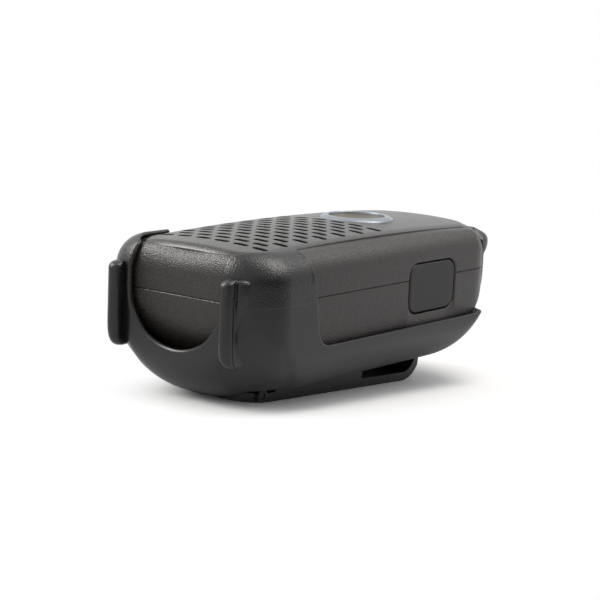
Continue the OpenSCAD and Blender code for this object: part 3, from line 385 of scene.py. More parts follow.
recess, panel_line, ledge = (panel_loop(grow) for grow in (recess_gap, line_gap, -ledge_w))
reach = np.linalg.norm(edge - recess, axis=1)
# the edge's radius grows towards the middle of each corner
turned_in = np.clip(np.abs(edge) - [radio_w / 2 - corner, radio_l / 2 - corner], 0, corner) / corner
roll = edge_r + (brow_r - edge_r) * 4 * np.prod(turned_in, axis=1) ** 2
# the shadow line, as how far in and the height, then the plain wall and the round shoulder
shadow_line = [(0.3, 0.0), (0.3, 0.12), (0.1, 0.15), (0.02, 0.22), (0.0, line_top)]
rows = [at(inset_edge(off), z) for off, z in shadow_line]
rows += [at(edge, line_top + (shoulder - roll - line_top) * share) for share in (0.4, 0.8)]
for share in np.linspace(0, 1, 17) ** 2:
    flat = edge + (recess - edge) * share
    in_from_edge = np.minimum(reach * share, roll)
    arc = shoulder - roll + np.sqrt(roll ** 2 - (roll - in_from_edge) ** 2)
    brim = soft_least(arc, crown(shell_apex, flat))
    rows.append(at(flat, brim))
# down into the panel's recess, over its ledge and back along the inside
ledge_z = crown(panel_seat, ledge)
rows += [at(recess * 0.6 + panel_line * 0.4, brim - 0.05), at(panel_line, brim - 0.18),
         at(panel_line, crown(panel_seat, panel_line)), at(ledge, ledge_z), at(ledge, ledge_z - ledge_t),
         at(inset_edge(inner_bend), inner_bend_z), at(inset_edge(shell_wall), inner_top),
         at(inset_edge(shell_wall), 0.0)]
front = skin("front_case", rows, closed=True)
carve(front, pocket, mouth)
dress(front, shell_black, root, "radio_shell", "front_shell")
gone(pocket, mouth, *windows)

# Door over the battery, a lid of the same grained plastic. It lies flush with the radio's back and is
# out of sight while the radio is in its holster.
paint_node("battery_door", shell_black)

# Front panel: a dark grey crowned plate with a bevelled rim, pierced by staggered rows of sound slots
# and by the holes for the button's ring and the microphone.
# the slot walls are the panel's plastic, painted darker and matter than it: painted shade inside the slots
painted_slot_shade = finish("slot_walls_painted_shade", (0.006, 0.0058, 0.0056), 0.7, 3300, 0.8, 60, 4e-5, 0.05, 0.02, spec=0.12)
panel_grey = finish("panel_grey", (0.024, 0.0225, 0.021), 0.3, 3300, 0.8, 60, 4e-5, 0.05, 0.02)
spine_half, side_share, steps_in = 30, 0.35, 16
outline = panel_loop(0)
spine = np.stack([np.zeros(len(outline)), np.clip(outline[:, 1], -spine_half, spine_half)], -1)
rows = []
for share in np.linspace(1, 0, steps_in):
    flat = outline + (spine - outline) * share
    rows.append(at(flat, crown(panel_seat, flat)))
# the rim rolls down further at the two ends than along the sides
at_ends = blend(np.abs(outline[:, 1]), panel_l / 2 - panel_r, panel_l / 2)
for inset, drop in ((0, 1.2), (0.05, 1.05), (0.18, 0.9), (0.6, 0.58), (1.1, 0.27), (1.6, 0.08), (2.1, 0.0)):
    rim = panel_loop(-inset)
    rows.append(at(rim, crown(panel_apex, rim) - drop * (side_share + (1 - side_share) * at_ends)))
for share in np.linspace(0, 1, steps_in)[1:]:
    flat = rim + (spine - rim) * share
    rows.append(at(flat, crown(panel_apex, flat)))
panel = skin("front_plate", rows)

# one slot, whose mouth opens a little at the panel's face, and the places of all of them
slot_l, slot_w, slot_margin = 4.1, 1.6, 1.6
pitch_x, pitch_y, first_row, row_count, last_column = 5.7, 3.7, -39.0, 13, 4
button_y, ring_r, flange = 17.6, 9.5, 1.1
centres = [
    (x, y) for row in range(row_count) for column in range(-last_column, last_column + 1)
    for x, y in [((column + (row + 1) % 2 / 2) * pitch_x, first_row + row * pitch_y)]
    if abs(x) + slot_l / 2 <= panel_w / 2 - slot_margin
    and math.hypot(x, y - button_y) >= ring_r + flange + slot_w]
form = []
for z, grow in ((-3.0, 0.0), (-0.16, 0.0), (-0.06, 0.03), (0.0, 0.1), (0.06, 0.2), (0.6, 0.74)):
    half, reach_x = slot_w / 2 + grow, (slot_l - slot_w) / 2
    turn = np.radians(np.linspace(-90, 90, 9))
    right = np.stack([reach_x + half * np.cos(turn), half * np.sin(turn)], -1)
    form.append(at(np.concatenate([right, -right]), z))
form = np.asarray(form) / 1000
slot_form = solid("slot_form", form.reshape(-1, 3), bands(*form.shape[:2], caps=(True, True)))
slots = solid("sound_slots", np.array([(x, y, 0) for x, y in centres]) / 1000, [])

# the slots are put on their places and each point is lifted by the crown's height there
pattern = bpy.data.node_groups.new("slots_on_crown", "GeometryNodeTree")
labels = {}
for label, kind in (("Geometry", "Geometry"), ("Slot", "Object"), ("Apex", "Float"), ("Across", "Float"),
                    ("Along", "Float"), ("Finish", "Material")):
    socket = pattern.interface.new_socket(label, in_out="INPUT", socket_type="NodeSocket" + kind)
    labels[label] = socket.identifier
pattern.interface.new_socket("Geometry", in_out="OUTPUT", socket_type="NodeSocketGeometry")
given, wanted = pattern.nodes.new("NodeGroupInput"), pattern.nodes.new("NodeGroupOutput")
one_slot = pattern.nodes.new("GeometryNodeObjectInfo")
spread = pattern.nodes.new("GeometryNodeInstanceOnPoints")
real = pattern.nodes.new("GeometryNodeRealizeInstances")
lift = pattern.nodes.new("GeometryNodeSetPosition")
paint = pattern.nodes.new("GeometryNodeSetMaterial")
spot = pattern.nodes.new("GeometryNodeInputPosition")
split = pattern.nodes.new("ShaderNodeSeparateXYZ")
offset = pattern.nodes.new("ShaderNodeCombineXYZ")
link = pattern.links.new
link(given.outputs["Slot"], one_slot.inputs["Object"])
link(given.outputs["Geometry"], spread.inputs["Points"])
link(one_slot.outputs["Geometry"], spread.inputs["Instance"])
link(spread.outputs["Instances"], real.inputs["Geometry"])
link(spot.outputs["Position"], split.inputs["Vector"])
apex, across, along = (given.outputs[label] for label in ("Apex", "Across", "Along"))
squared_x = maths(pattern, "MULTIPLY", split.outputs["X"], split.outputs["X"])
squared_y = maths(pattern, "MULTIPLY", split.outputs["Y"], split.outputs["Y"])
squared_r = maths(pattern, "MULTIPLY", across, across)
bow = maths(pattern, "SQRT", maths(pattern, "SUBTRACT", squared_r, squared_x))
sweep = maths(pattern, "ADD", maths(pattern, "SUBTRACT", along, across), bow)
squared_sweep = maths(pattern, "MULTIPLY", sweep, sweep)
arch = maths(pattern, "SQRT", maths(pattern, "SUBTRACT", squared_sweep, squared_y))
link(maths(pattern, "ADD", maths(pattern, "SUBTRACT", apex, along), arch), offset.inputs["Z"])
link(real.outputs["Geometry"], lift.inputs["Geometry"])
link(offset.outputs["Vector"], lift.inputs["Offset"])
link(lift.outputs["Geometry"], paint.inputs["Geometry"])
link(given.outputs["Finish"], paint.inputs["Material"])
link(paint.outputs["Geometry"], wanted.inputs["Geometry"])
laid = slots.modifiers.new("slots", "NODES")
laid.node_group = pattern
# the slots' walls take the painted shade as their finish
for label, value in (("Slot", slot_form), ("Apex", panel_apex / 1000), ("Across", crown_across / 1000),
                     ("Along", crown_along / 1000), ("Finish", painted_slot_shade)):
    laid[labels[label]] = value
baked(slots)
points = np.array([v.co for v in slots.data.vertices]) * 1000
for vertex, place in zip(slots.data.vertices, seated(points)):
    vertex.co = place


def turned(name, profile, x, y, steps=96, caps=(True, True)):
    """A piece turned round an axis that stands on the front: its profile gives radius and height."""
    turn = np.linspace(0, 2 * math.pi, steps, endpoint=False)
    rows = [np.stack([x + r * np.cos(turn), y + r * np.sin(turn), np.full(steps, z)], -1) for r, z in profile]
    return skin(name, rows, caps=caps)


mic_y, mic_r, hole_gap, chamfer = 40.0, 0.6, 0.1, 0.12
top_at_button, top_at_mic = (float(crown(panel_apex, np.array([[0.0, y]]))[0]) for y in (button_y, mic_y))
ring_hole = turned("ring_hole", [
    (ring_r + hole_gap, 5), (ring_r + hole_gap, top_at_button - chamfer), (ring_r + 0.3, 20)], 0, button_y)
mic_hole = turned("mic_hole", [
    (mic_r, 5), (mic_r, top_at_mic - chamfer), (mic_r + chamfer, top_at_mic), (3, top_at_mic + 2)],
    0, mic_y, steps=32)
panel.data.materials.append(panel_grey)
carve(panel, slots, ring_hole, mic_hole)
dress(panel, panel_grey, root, "panel", "front_panel")
gone(slots, slot_form, ring_hole, mic_hole)

# Light ring and button: a silvery moulded ring that lets the lamps' light through, with a sloping
# bezel, round a dished glossy cap that is pressed straight in.
ring_silver = finish("ring_silver", (0.3, 0.33, 0.37), 0.34, 4200, 0.3, 90, 6e-6, 0.05, 0.02, metal=0.35,
                     tint=(0.26, 0.29, 0.33), coat=0.2)
cap_gloss = finish("cap_gloss", (0.065, 0.05, 0.022), 0.3, 3000, 0.2, 90, 3e-6, 0.05, 0.03, spec=0.4)
cap_r, cap_gap, cap_drop, dish, ring_rise = 7.0, 0.3, 0.5, 0.8, 0.7
stem_r, stem_z, skirt, flange_t = 2.0, 3.5, 0.9, 0.9
rim_z = top_at_button + ring_rise
flange_z = float(crown(panel_seat, np.array([[ring_r + flange, button_y + ring_r + flange]]))[0]) - 0.1
ring = turned("light_ring", [
    (cap_r + cap_gap, flange_z - flange_t), (cap_r + cap_gap, rim_z - 0.28), (cap_r + 0.34, rim_z - 0.12),
    (cap_r + 0.46, rim_z - 0.02), (cap_r + 0.6, rim_z), (cap_r + 1.05, rim_z), (cap_r + 1.3, rim_z - 0.04),
    (cap_r + 1.6, rim_z - 0.2), (ring_r - 0.3, top_at_button + 0.2), (ring_r - 0.08, top_at_button + 0.02),
    (ring_r, top_at_button - 0.14), (ring_r, flange_z), (ring_r + flange, flange_z),
    (ring_r + flange, flange_z - flange_t), (cap_r + cap_gap, flange_z - flange_t)],
    0, button_y, caps=(False, False))
dress(ring, ring_silver, root, "light_ring", "button_ring")
cap_top = rim_z - cap_drop
skirt_low, skirt_high = flange_z - 0.8, flange_z + 0.2
sphere_r = (cap_r ** 2 + dish ** 2) / (2 * dish)
bowl = [(r, cap_top - dish + sphere_r - math.sqrt(sphere_r ** 2 - r * r))
        for r in np.linspace(cap_r - 0.55, 0.4, 14)]
cap = turned("button_cap", [
    (stem_r, stem_z), (stem_r, skirt_low), (cap_r + skirt, skirt_low), (cap_r + skirt, skirt_high),
    (cap_r, skirt_high), (cap_r, cap_top - 0.25), (cap_r - 0.06, cap_top - 0.1),
    (cap_r - 0.2, cap_top - 0.02), *bowl], 0, button_y)
dress(cap, cap_gloss, "front_button", "button", "front_button")

# Talk button and volume rocker in the left side wall, of soft black rubber over a stiff core. They
# stand a little proud of the wall and have plain faces with soft edges.
soft_black = finish("soft_rubber", (0.0105, 0.0095, 0.0092), 0.5, 3600, 0.7, 120, 2.6e-5, 0.06, 0.02,
                    spec=0.36)
flat_angle = math.radians(1.5)


def copied(node, name, width):
    """A copy of a node's mesh, freed of the edges inside its flat faces, with soft edges of a width."""
    mesh = nodes[node].data.copy()
    mesh.name = name
    work = bmesh.new()
    work.from_mesh(mesh)
    bmesh.ops.remove_doubles(work, verts=work.verts, dist=weld)
    bmesh.ops.dissolve_limit(work, angle_limit=flat_angle, verts=work.verts, edges=work.edges)
    work.to_mesh(mesh)
    work.free()
    smooth(mesh)
    return soften(linked(name, mesh), width)


dress(copied("ptt_button", "talk_key", width=0.35), soft_black, "talk_button", "rubber", "ptt_button")
dress(copied("volume_rocker", "volume_key", width=0.3), soft_black, "volume_rocker", "rubber",
      "volume_rocker")

# Cover over the charging socket: a rubber flap with soft edges that lies flush in its pocket, held
# along its far edge. Its plug closes the socket's mouth.
flap_steps = [(21.5, 0), (22.55, 0), (22.8, -0.06), (22.93, -0.2), (22.99, -0.42), (23.0, -0.8),
              (22.98, -1.6), (22.97, -3.0)]
least_r = 0.2
rows = []
for x, grow in flap_steps:
    l, h, r = cover_l + 2 * grow, cover_h + 2 * grow, max(cover_r + grow, least_r)
    flat = round_loop(l, h, r, arc=10, ends=8, sides=8)
    rows.append(np.stack([np.full(len(flat), x), cover_y + flat[:, 0], cover_z + flat[:, 1]], -1))
flap = skin("socket_flap", rows, caps=(True, True))
dress(flap, soft_black, "socket_cover", "rubber", "usb_cover")
plug_l, plug_h, plug_r = 6.4, 2.4, 0.8
plug = side_prism("socket_plug", cover_y, socket_z, plug_l, plug_h, plug_r,
                  [(20.4, -0.25), (20.5, -0.08), (20.65, 0), (21.6, 0)])
dress(plug, soft_black, "socket_cover", "rubber")

# Holster cradle: one black moulding with satin faces. A tub carries the radio's back, two arms wrap
# its near corners up to the panel, and the near end is cut out in a half round for the thumb.
holster_black = finish("satin_holster", (0.0062, 0.0064, 0.0066), 0.3, 3000, 0.7, 45, 7e-5, 0.05, 0.015,
                       spec=0.4)
# the arms are grained like the radio above a fine line level with its parting plane, and satin below
line_low, line_high, satin_share = -0.0004, -0.0002, 0.05
tree = holster_black.node_tree
split = tree.nodes.new("ShaderNodeSeparateXYZ")
tree.links.new(tree.nodes.new("ShaderNodeTexCoord").outputs["Object"], split.inputs["Vector"])
level_z = maths(tree, "MULTIPLY_ADD", split.outputs["Z"], math.cos(slant), -rest / 1000 * math.cos(slant))
level_z = maths(tree, "SUBTRACT", level_z, maths(tree, "MULTIPLY", split.outputs["Y"], math.sin(slant)))
above = tree.nodes.new("ShaderNodeMapRange")
for label, value in (("Value", level_z), ("From Min", line_low), ("From Max", line_high),
                     ("To Min", satin_share)):
    feed(tree, above.inputs[label], value)
relief = tree.nodes["Bump"].inputs["Height"]
tree.links.new(maths(tree, "MULTIPLY", relief.links[0].from_socket, above.outputs["Result"]), relief)
out, holster_wall = 2.0, 1.7
hw, hl, hr = radio_w / 2 + out, radio_l / 2 + out, corner + out
back, arm_top, arm_r = -rear_depth - out, 11.8, 7.5
side_bend, end_bend, foot_r = side_r + out, end_r + out, 5.0
chin_depth, chin_side, chin_end = 24.7, 16.0, 14.0
chin_from, chin_full, beside_tab, tab_half, tab_clear = -36, -41.5, 9, 12.5, 18
open_gap = 0.8
open_w, open_l, open_r = panel_w / 2 + open_gap, panel_l / 2 + open_gap, panel_r + open_gap
quarter = hr * math.pi / 2
near_straight, side_straight = hw - hr, 2 * (hl - hr)
whole = 2 * near_straight + 2 * quarter + side_straight


def outline_at(u):
    """Where a distance u from the near end's middle leads: on the outer wall, the foot and the opening."""
    a = np.abs(u)
    sign = np.where(u < 0, -1.0, 1.0)
    foot_w, foot_l = hw - side_bend, hl - end_bend
    stops = np.cumsum([near_straight, quarter, side_straight, quarter])
    along_side = np.clip((a - stops[1]) / side_straight, 0, 1)
    along_far = np.clip((a - stops[3]) / near_straight, 0, 1)
    near_share, far_share = (np.clip((a - stop) / quarter, 0, 1) for stop in (stops[0], stops[2]))
    near_turn, far_turn = near_share * math.pi / 2, far_share * math.pi / 2
    places = []
    for w, l, r in ((hw, hl, hr), (foot_w, foot_l, foot_r), (open_w, open_l, open_r)):
        x = np.clip(a / near_straight, 0, 1) * (w - r) + r * np.sin(near_turn)
        y = -l + r - r * np.cos(near_turn) + along_side * 2 * (l - r) + r * np.sin(far_turn)
        x = x - r * (1 - np.cos(far_turn)) - along_far * (w - r)
        places.append(np.stack([sign * x, y], -1))
    at_end = np.maximum(1 - near_share, far_share)
    return places, side_bend + (end_bend - side_bend) * blend(at_end, 0.0, 1.0)


def belly(flat):
    """Height of the tub's underside. A chin under the near end is deeper, and stops before the clip's tab."""
    tub = under(flat, 2 * hw, 2 * hl, hr, -back, side_bend, end_bend, heel_r + out)
    chin = under(flat, 2 * hw, 2 * hl, hr, chin_depth, chin_side, chin_end, heel_r + out)
    start = chin_from + beside_tab * blend(np.abs(flat[..., 0]), tab_half, tab_clear)
    fade = blend(flat[..., 1], start, chin_full)
    return tub + soft_least(chin - tub, np.zeros_like(tub), 1.0) * fade


def section_at(u):
    """The holster's section: its places in plan, its bend, the wall above that, the arm's reach and turn."""
    places, bend = outline_at(u)
    reach = np.maximum(np.linalg.norm(places[0] - places[2], axis=-1), 1e-6)
    return places, bend, arm_top - arm_r - belly(places[0]), reach, np.arccos(1 - reach / arm_r)


def lip_at(u):
    """Length of the section from the foot to the arm's lip."""
    _, bend, high, _, over = section_at(u)
    return bend * math.pi / 2 + high + arm_r * over


def surface(u, t):
    """The point of the holster's outside at a distance round it and a length up its section."""
    (wall, foot, opening), bend, high, reach, over = section_at(u)
    low = bend * math.pi / 2
    flat = wall + (foot - wall) * (1 - np.sin(np.clip(t / bend, 0, math.pi / 2)))[..., None]
    turn = np.clip((t - low - high) / arm_r, 0, over)
    z = belly(flat) + np.clip(t - low, 0, high) + arm_r * np.sin(turn)
    flat = flat + (opening - wall) * (arm_r * (1 - np.cos(turn)) / reach)[..., None]
    return np.concatenate([flat, z[..., None]], -1)


def rise_at(u, z, halvings=40):
    """Length of the section from the foot to a height, found by halving."""
    low, high = np.zeros_like(u), lip_at(u)
    for _ in range(halvings):
        half = (low + high) / 2
        short = surface(u, half)[..., 2] < z
        low, high = np.where(short, half, low), np.where(short, high, half)
    return (low + high) / 2


def filleted(points, radii, step=0.6, arc_steps=12):
    """A path through corner points, rounded at each by its radius."""
    path = [np.array(points[0], float)]
    for before, here, after, r in zip(points, points[1:], points[2:], radii):
        before, here, after = (np.array(p, float) for p in (before, here, after))
        a, b = ((p - here) / np.linalg.norm(p - here) for p in (before, after))
        half = math.acos(np.clip(a @ b, -1, 1)) / 2
        back_off = r / math.tan(half)
        centre = here + (a + b) / np.linalg.norm(a + b) * r / math.sin(half)
        first, last = here + a * back_off - centre, here + b * back_off - centre
        angle = math.acos(np.clip(first @ last / r / r, -1, 1))
        for k in range(arc_steps + 1):
            w = k / arc_steps
            spoke = first * math.sin((1 - w) * angle) + last * math.sin(w * angle)
            path.append(centre + spoke / math.sin(angle))
    path.append(np.array(points[-1], float))
    dense = [path[0]]
    for p in path[1:]:
        start = dense[-1]
        count = max(1, int(np.linalg.norm(p - start) / step))
        dense += [start + (p - start) * k / count for k in range(1, count + 1)]
    return np.array(dense)


def from_near(y):
    """Distance round the holster to a place along its straight side."""
    return near_straight + quarter + y + hl - hr


rim_low, arm_edge, edge_top, lean = -11.2, -30.5, 9.5, math.tan(math.radians(12))
notch_r, notch_z, rim_radii = 14.0, 1.3, [4.0, 4.2, 3.4]
notch_rounds, smooth_rounds, tub_rows = 12, 6, 46
far_part = from_near(30)
low_u, high_u = from_near(arm_edge - rim_low * lean), from_near(arm_edge - edge_top * lean)
side_rim = float(rise_at(np.array(low_u), np.array(rim_low)))
lip, notch_lip = (float(lip_at(np.array(u))) for u in (high_u, notch_r))
notch_top = float(rise_at(np.array(notch_r), np.array(notch_z)))
path = filleted([(far_part, side_rim), (low_u, side_rim), (high_u, lip), (notch_r, notch_lip),
                 (notch_r, notch_top)], rim_radii)
# the lip follows the opening, so the path's top is brought down to it
path[:, 1] = np.minimum(path[:, 1], lip_at(path[:, 0]))
turn = np.radians(np.linspace(90, 0, 41))[1:]
notch_x, notch_h = notch_r * np.sin(turn), notch_z - notch_r * np.cos(turn)
notch_u = notch_x.copy()
for _ in range(notch_rounds):
    notch_u = notch_u + notch_x - surface(notch_u, rise_at(notch_u, notch_h))[:, 0]
notch = np.stack([notch_u, rise_at(notch_u, notch_h)], -1)
far_u = np.linspace(whole, far_part, 70)[:-1]
far = np.stack([far_u, rise_at(far_u, np.full(len(far_u), rim_low))], -1)
half_rim = np.concatenate([far, path, notch])
# each rim point has a foot point: under the arms the lines lean in, so that they never cross
length = np.concatenate([[0], np.cumsum(np.linalg.norm(np.diff(half_rim, axis=0), axis=1))])
at_root = length[np.argmin(np.abs(half_rim[:, 0] - (low_u + 4.5)) + np.abs(half_rim[:, 1] - side_rim))]
high = np.where(half_rim[:, 1] > lip - 1.5)[0]
rim_keys = [(0, whole), (length[len(far)], far_part), (at_root, low_u + 3.5), (length[high[0]], high_u - 2.5),
            (length[high[-1]], 19.5), (length[len(far) + len(path) - 1], 13.2), (length[-1], 0)]
foot_u = np.interp(length, *zip(*rim_keys))
lip_thin, lip_from, lip_full = 0.6, 7.5, 11.0
rim_thin, rim_taper, arm_taper = 0.8, 5, 7


def wall_at(points):
    """Thickness of the holster's wall, which is less in the arms' lips and along the side rims."""
    y, z = points[..., 1], points[..., 2]
    at_lip = lip_thin * blend(z, lip_from, lip_full)
    at_rim = rim_thin * blend(z, rim_low - rim_taper, rim_low) * blend(y, arm_edge, arm_edge + arm_taper)
    return holster_wall - np.maximum(at_lip, at_rim)


# the rim is a full round, so the skin stops half a wall before it
for _ in range(smooth_rounds):
    half_rim[1:-1] = (half_rim[:-2] + 2 * half_rim[1:-1] + half_rim[2:]) / 4
ahead = np.gradient(half_rim, axis=0)
ahead /= np.linalg.norm(ahead, axis=1, keepdims=True)
half_wall = wall_at(surface(half_rim[:, 0], half_rim[:, 1]))[:, None] / 2
half_rim = half_rim + half_wall * np.stack([-ahead[:, 1], ahead[:, 0]], -1)
half_rim[0, 0], half_rim[-1, 0] = whole, 0
both_u, both_t, both_foot = (
    np.concatenate([line[:-1], line[-1:], sign * line[-2:0:-1]])
    for line, sign in ((half_rim[:, 0], -1), (half_rim[:, 1], 1), (foot_u, -1)))
down = np.linspace(0, 1, tub_rows)[:, None]
u, t, near_by = both_u + (both_foot - both_u) * down, both_t * (1 - down), 0.05
rows = surface(u, t)
# the wall goes inwards along the surface's normals
around = surface(u + near_by, t) - surface(u - near_by, t)
upward = surface(u, t + near_by) - surface(u, t - near_by)
normal = np.cross(around, upward)
normal *= np.sign(np.sum(normal * (rows - [0, 0, -5]))) / np.linalg.norm(normal, axis=-1, keepdims=True)
over = np.cross(np.roll(rows[0], -1, axis=0) - np.roll(rows[0], 1, axis=0), normal[0])
over *= np.sign(np.sum(over * (rows[0] - rows[1]))) / np.linalg.norm(over, axis=-1, keepdims=True)
wall = wall_at(rows)[..., None]
round_rim = [rows[0] - normal[0] * wall[0] / 2 + wall[0] / 2 * (math.cos(a) * normal[0] + math.sin(a) * over)
             for a in np.radians(np.linspace(0, 180, 11)[1:-1])]
cradle = skin("holster_body", [*rows[::-1], *round_rim, *(rows - normal * wall)], caps=(True, True))
dress(cradle, holster_black, root, "holster", "holster_cradle")

# Finger fins on the cradle's near corners and the two lugs under it that carry the clip's pin. They
# are moulded in one with the cradle.
fin_x, fin_t, fin_reach, bead_r = 17.0, 2.4, 3, 1.7
fin_out, fin_low, fin_high = -hl - fin_reach + bead_r, -14.2, 6.2
web_low, web_high = -8, 3
turn = np.radians(np.linspace(45, -225, 28))
bead = np.stack([bead_r * np.cos(turn), bead_r * np.sin(turn)], -1)
# the outer side of the section where its web is broad, and where the web has sunk into the bead's root
web = np.array([(3.5, 6.0), (3.5, 3.9), (3.3, 3.2), (2.9, 2.5), (2.4, 1.9), (1.95, 1.55), (1.7, 1.5),
                (1.45, 1.62), (1.3, 1.45)])
sunk = np.array([(1.2, 6.0), (1.2, 5.4), (1.2, 4.6), (1.2, 3.8), (1.2, 3.2), (1.2, 2.6), (1.2, 2.2),
                 (1.2, 1.9), (1.24, 1.5)])
inner_side = [(-fin_t / 2 - 0.04, 1.5), (-fin_t / 2, 1.75), (-fin_t / 2, 6.0)]
fin_heart = [0.6, 4.5]
# how far the section is drawn in towards its heart, by the distance from the fin's upper and lower end
ends = [(0.0, 0.42), (0.12, 0.62), (0.35, 0.8), (0.7, 0.92), (1.2, 0.985), (1.8, 1.0)]
tail = [(0.0, 0.36), (0.2, 0.56), (0.6, 0.7), (1.4, 0.83), (2.6, 0.93), (4.2, 0.98), (6.0, 1.0)]
levels = [(fin_low + off, share) for off, share in tail]
levels += [(z, 1.0) for z in (-6.5, -4.5, -2.5, -0.5, 1.5, 3.0)]
levels += [(fin_high - off, share) for off, share in ends[::-1]]
for side, name in ((1, "right"), (-1, "left")):
    rows = []
    for z, share in levels:
        # the web's broad outer side fades out downwards
        broad = web + (sunk - web) * (1 - blend(z, web_low, web_high))
        section = np.concatenate([broad, bead, inner_side])
        drawn_in = (section - fin_heart) * share + fin_heart
        rows.append(at(drawn_in * [side, 1] + [side * fin_x, fin_out], z))
    dress(skin("finger_fin_" + name, rows, caps=(True, True)), holster_black, root, "holster")
pivot_y, pivot_z, lug_in, lug_t, lug_r, lug_top = -33.0, back - 1.95, 4.9, 3.4, 1.37, 2.8
turn = np.radians(np.linspace(180, 360, 25))
below_pin = np.stack([lug_r * np.cos(turn), lug_r * np.sin(turn)], -1)
section = np.concatenate([[(-lug_r, lug_top)], below_pin, [(lug_r, lug_top)]])
for side, name in ((1, "right"), (-1, "left")):
    rows = [np.stack([np.full(len(section), side * x), pivot_y + section[:, 0], pivot_z + section[:, 1]], -1)
            for x in (lug_in, lug_in + lug_t)]
    lug = soften(skin("pin_lug_" + name, rows, caps=(True, True)), width=0.3, angle=math.radians(60))
    dress(lug, holster_black, root, "holster")

# Release latch at the far end, a springy tongue of the same plastic. Its hook holds the radio's edge
# and a round lip lets a finger pull it back.
latch_half, latch_root, latch_low, latch_top = 19.0, 13.5, -6.0, 9.5
lip_reach, lip_z, lip_r, lip_round = 3.9, 5.7, 2.9, 5.0
root_z, hook_gap, top_corner, side_round, edge_round = -10.05, 0.3, 3, 0.6, 0.8
lip_power, least_thin, most_round = 0.62, 0.02, 0.995


def latch_face(x, z, grow):
    """Y of the far end's outline, grown outwards, at a place across it and a height."""
    across = np.clip(np.abs(x) - (radio_w / 2 - corner), 0, corner + grow - 0.01)
    plan = radio_l / 2 - corner + np.sqrt((corner + grow) ** 2 - across ** 2)
    over = edge_r + grow - np.sqrt((edge_r + grow) ** 2 - np.clip(z - shoulder + edge_r, 0, edge_r) ** 2)
    below = end_r + grow - np.sqrt((end_r + grow) ** 2 - np.clip(end_r - rear_depth - z, 0, end_r) ** 2)
    return plan - over - below


rows = []
close = [0.97, 0.988, 0.997, 1.0]
for x in np.concatenate([-np.array(close[::-1]), np.linspace(-0.945, 0.945, 61), close]) * latch_half:
    a = abs(x)
    low = root_z + (latch_low - root_z) * np.clip((a - latch_root) / (latch_half - latch_root), 0, 1)
    top = latch_top - np.clip(a - latch_half + top_corner, 0, top_corner)
    # the strip's side edges are round, and so are the lip's ends in plan
    thin = math.sqrt(max(least_thin, 1 - np.clip((a - latch_half + side_round) / side_round, 0, 1) ** 2))
    reach = lip_reach * math.sqrt(max(0, 1 - np.clip((a - latch_half + lip_round) / lip_round, 0, 1) ** 2))
    z = low + (top - low) * np.linspace(0, 1, 34)
    inner, outer = latch_face(x, z, hook_gap), latch_face(x, z, out)
    middle, half = (inner + outer) / 2, (outer - inner) / 2 * thin
    # full rounds along the upper and lower edges
    from_edge = np.minimum(z - low, top - z)
    half = half * np.sqrt(1 - np.clip(1 - from_edge / edge_round, 0, most_round) ** 2)
    bulge = reach * np.clip(1 - ((z - lip_z) / lip_r) ** 2, 0, 1) ** lip_power
    y = np.concatenate([middle - half, (middle + half + bulge)[::-1]])
    rows.append(np.stack([np.full(len(y), x), y, np.concatenate([z, z[::-1]])], -1))
latch = skin("latch_tongue", rows, caps=(True, True))
dress(latch, holster_black, "release_latch", "holster", "release_latch")

# Belt clip: a stiff black plate with a turned-up tip and flanges at its sides, hung on a steel pin.
# A wound steel spring on the pin presses its tip against the cradle's back.
clip_black = finish("clip_black", (0.007, 0.007, 0.0072), 0.38, 2600, 0.5, 45, 1e-5, 0.05, 0.02, spec=0.4)
dress(copied("clip_lever", "clip_plate", width=0.45), clip_black, "belt_clip", "holster", "clip_lever")

# Floor, light and camera: a white floor that fades into a white tent of light. One soft box hangs overhead
# and one stands to the left. Two reflectors and a dark card only give the glossy faces something to mirror.
floor_half, floor_colour, floor_seen = 30, (0.92, 0.92, 0.92, 1), (1.5, 1.5, 1.5, 1)
oval_shape, oval_shift, fade_from, fade_to = (2, 0.9, 1), (-0.01, -0.01, 0), 0.045, 0.078
tent_light, tent_seen, lamp_colour = 0.55, 1.0, (1, 0.98, 0.95)


def background_rays(tree):
    """One for the rays that show the background: from the camera, and by reflection and through glass."""
    kind = tree.nodes.new("ShaderNodeLightPath").outputs
    bent = maths(tree, "MAXIMUM", kind["Is Glossy Ray"], kind["Is Transmission Ray"])
    return maths(tree, "MAXIMUM", kind["Is Camera Ray"], bent)


white = bpy.data.materials.new("white_floor")
white.use_nodes = True
tree = white.node_tree
tree.nodes.clear()
lit, bright, mix, target = (tree.nodes.new("ShaderNode" + kind)
                            for kind in ("BsdfDiffuse", "Emission", "MixShader", "OutputMaterial"))
to_camera = tree.nodes.new("ShaderNodeLightPath").outputs["Is Camera Ray"]
tree.links.new(mixed(tree, to_camera, floor_colour, floor_seen), lit.inputs["Color"])
# outside an oval round the part, the floor is plain white where it is seen
oval, away = (tree.nodes.new("ShaderNodeVectorMath") for _ in range(2))
oval.operation, away.operation = "MULTIPLY_ADD", "LENGTH"
place = tree.nodes.new("ShaderNodeTexCoord").outputs["Object"]
for socket, value in zip(oval.inputs, (place, oval_shape, oval_shift)):
    feed(tree, socket, value)
tree.links.new(oval.outputs["Vector"], away.inputs[0])
fade = tree.nodes.new("ShaderNodeMapRange")
fade.interpolation_type = "SMOOTHSTEP"
for label, value in (("Value", away.outputs["Value"]), ("From Min", fade_from), ("From Max", fade_to)):
    feed(tree, fade.inputs[label], value)
share = maths(tree, "MULTIPLY", background_rays(tree), fade.outputs["Result"])
for socket, value in zip(mix.inputs, (share, lit.outputs["BSDF"], bright.outputs["Emission"])):
    tree.links.new(value, socket)
tree.links.new(mix.outputs["Shader"], target.inputs["Surface"])
floor = solid("floor", [(x * floor_half, y * floor_half, 0) for x, y in ((-1, -1), (1, -1), (1, 1), (-1, 1))],
              [(0, 1, 2, 3)])
floor.data.materials.append(white)

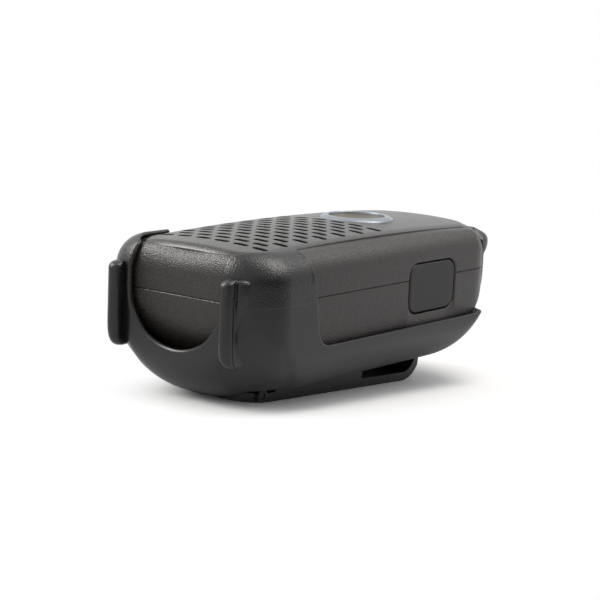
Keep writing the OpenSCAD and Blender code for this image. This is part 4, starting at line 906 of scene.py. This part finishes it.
world = bpy.data.worlds.new("light_tent")
bpy.context.scene.world = world
world.use_nodes = True
tree = world.node_tree
sky = tree.nodes["Background"]
sky.inputs["Color"].default_value = (1, 1, 1, 1)
strength = maths(tree, "MULTIPLY_ADD", background_rays(tree), tent_seen - tent_light, tent_light)
tree.links.new(strength, sky.inputs["Strength"])

for name, toward, distance, size, radiance in (
        ("soft_box_top", (0.15, 0.18, 0.98), 0.62, 0.3, 3.4),
        ("soft_box_left", (-0.55, -0.62, 0.56), 0.75, 0.42, 3.2),
        ("reflector_right", (0.5, 0.3, 0.81), 0.6, 0.3, 9.0),
        ("reflector_left", (-0.6, -0.4, 0.69), 0.75, 0.42, 10.0)):
    lamp = bpy.data.lights.new(name, "AREA")
    lamp.shape, lamp.size, lamp.energy = "SQUARE", size, radiance * math.pi * size ** 2
    lamp.color = lamp_colour
    box = linked(name, lamp)
    box.location = Vector(toward) * distance
    box.rotation_euler = (-box.location).to_track_quat("-Z", "Y").to_euler()
    # the reflectors light no matt colour
    box.visible_diffuse = name.startswith("soft_box")

# the dark card to the right keeps the near corner from going flat; only reflections show it
card_near, card_far, card_low, card_high = (0.118, -0.19), (0.135, 0.05), 0.014, 0.075
dark = bpy.data.materials.new("dark_card")
dark.use_nodes = True
dark.node_tree.nodes["Principled BSDF"].inputs["Base Color"].default_value = (0.02, 0.02, 0.02, 1)
card = solid("dark_card", [(*card_near, card_low), (*card_far, card_low), (*card_far, card_high),
                           (*card_near, card_high)], [(0, 1, 2, 3)])
card.data.materials.append(dark)
card.visible_camera = card.visible_diffuse = card.visible_shadow = card.visible_transmission = False

# the camera is turned in the radio's own frame, as it was fitted to the photo, and then slanted with it
azimuth, elevation, roll = (math.radians(v) for v in (37.596, 10.097, 2.425))
left_by, down_by, back_by = 0.003209, 0.006782, 0.43068
focal_px, picture_px, sensor = 1715.6, 600, 36.0
back_axis = Vector((math.sin(azimuth) * math.cos(elevation), -math.cos(azimuth) * math.cos(elevation),
                    math.sin(elevation)))
right_axis = Vector((math.cos(azimuth), math.sin(azimuth), 0))
up_axis = back_axis.cross(right_axis)
level = Matrix.Rotation(slant, 3, "X")
right = level @ (right_axis * math.cos(roll) + up_axis * math.sin(roll))
up = level @ (up_axis * math.cos(roll) - right_axis * math.sin(roll))
back_axis = level @ back_axis
place = Vector((0, 0, rest / 1000)) - right * left_by - up * down_by + back_axis * back_by
lens = bpy.data.cameras.new("camera")
lens.sensor_width, lens.lens = sensor, focal_px / picture_px * sensor
lens.clip_start, lens.clip_end = 0.01, 100
camera = linked("camera", lens)
camera.matrix_world = Matrix.Translation(place) @ Matrix((right, up, back_axis)).transposed().to_4x4()
bpy.context.scene.camera = camera
bpy.context.scene.view_settings.view_transform = "Standard"

bpy.context.view_layer.update()
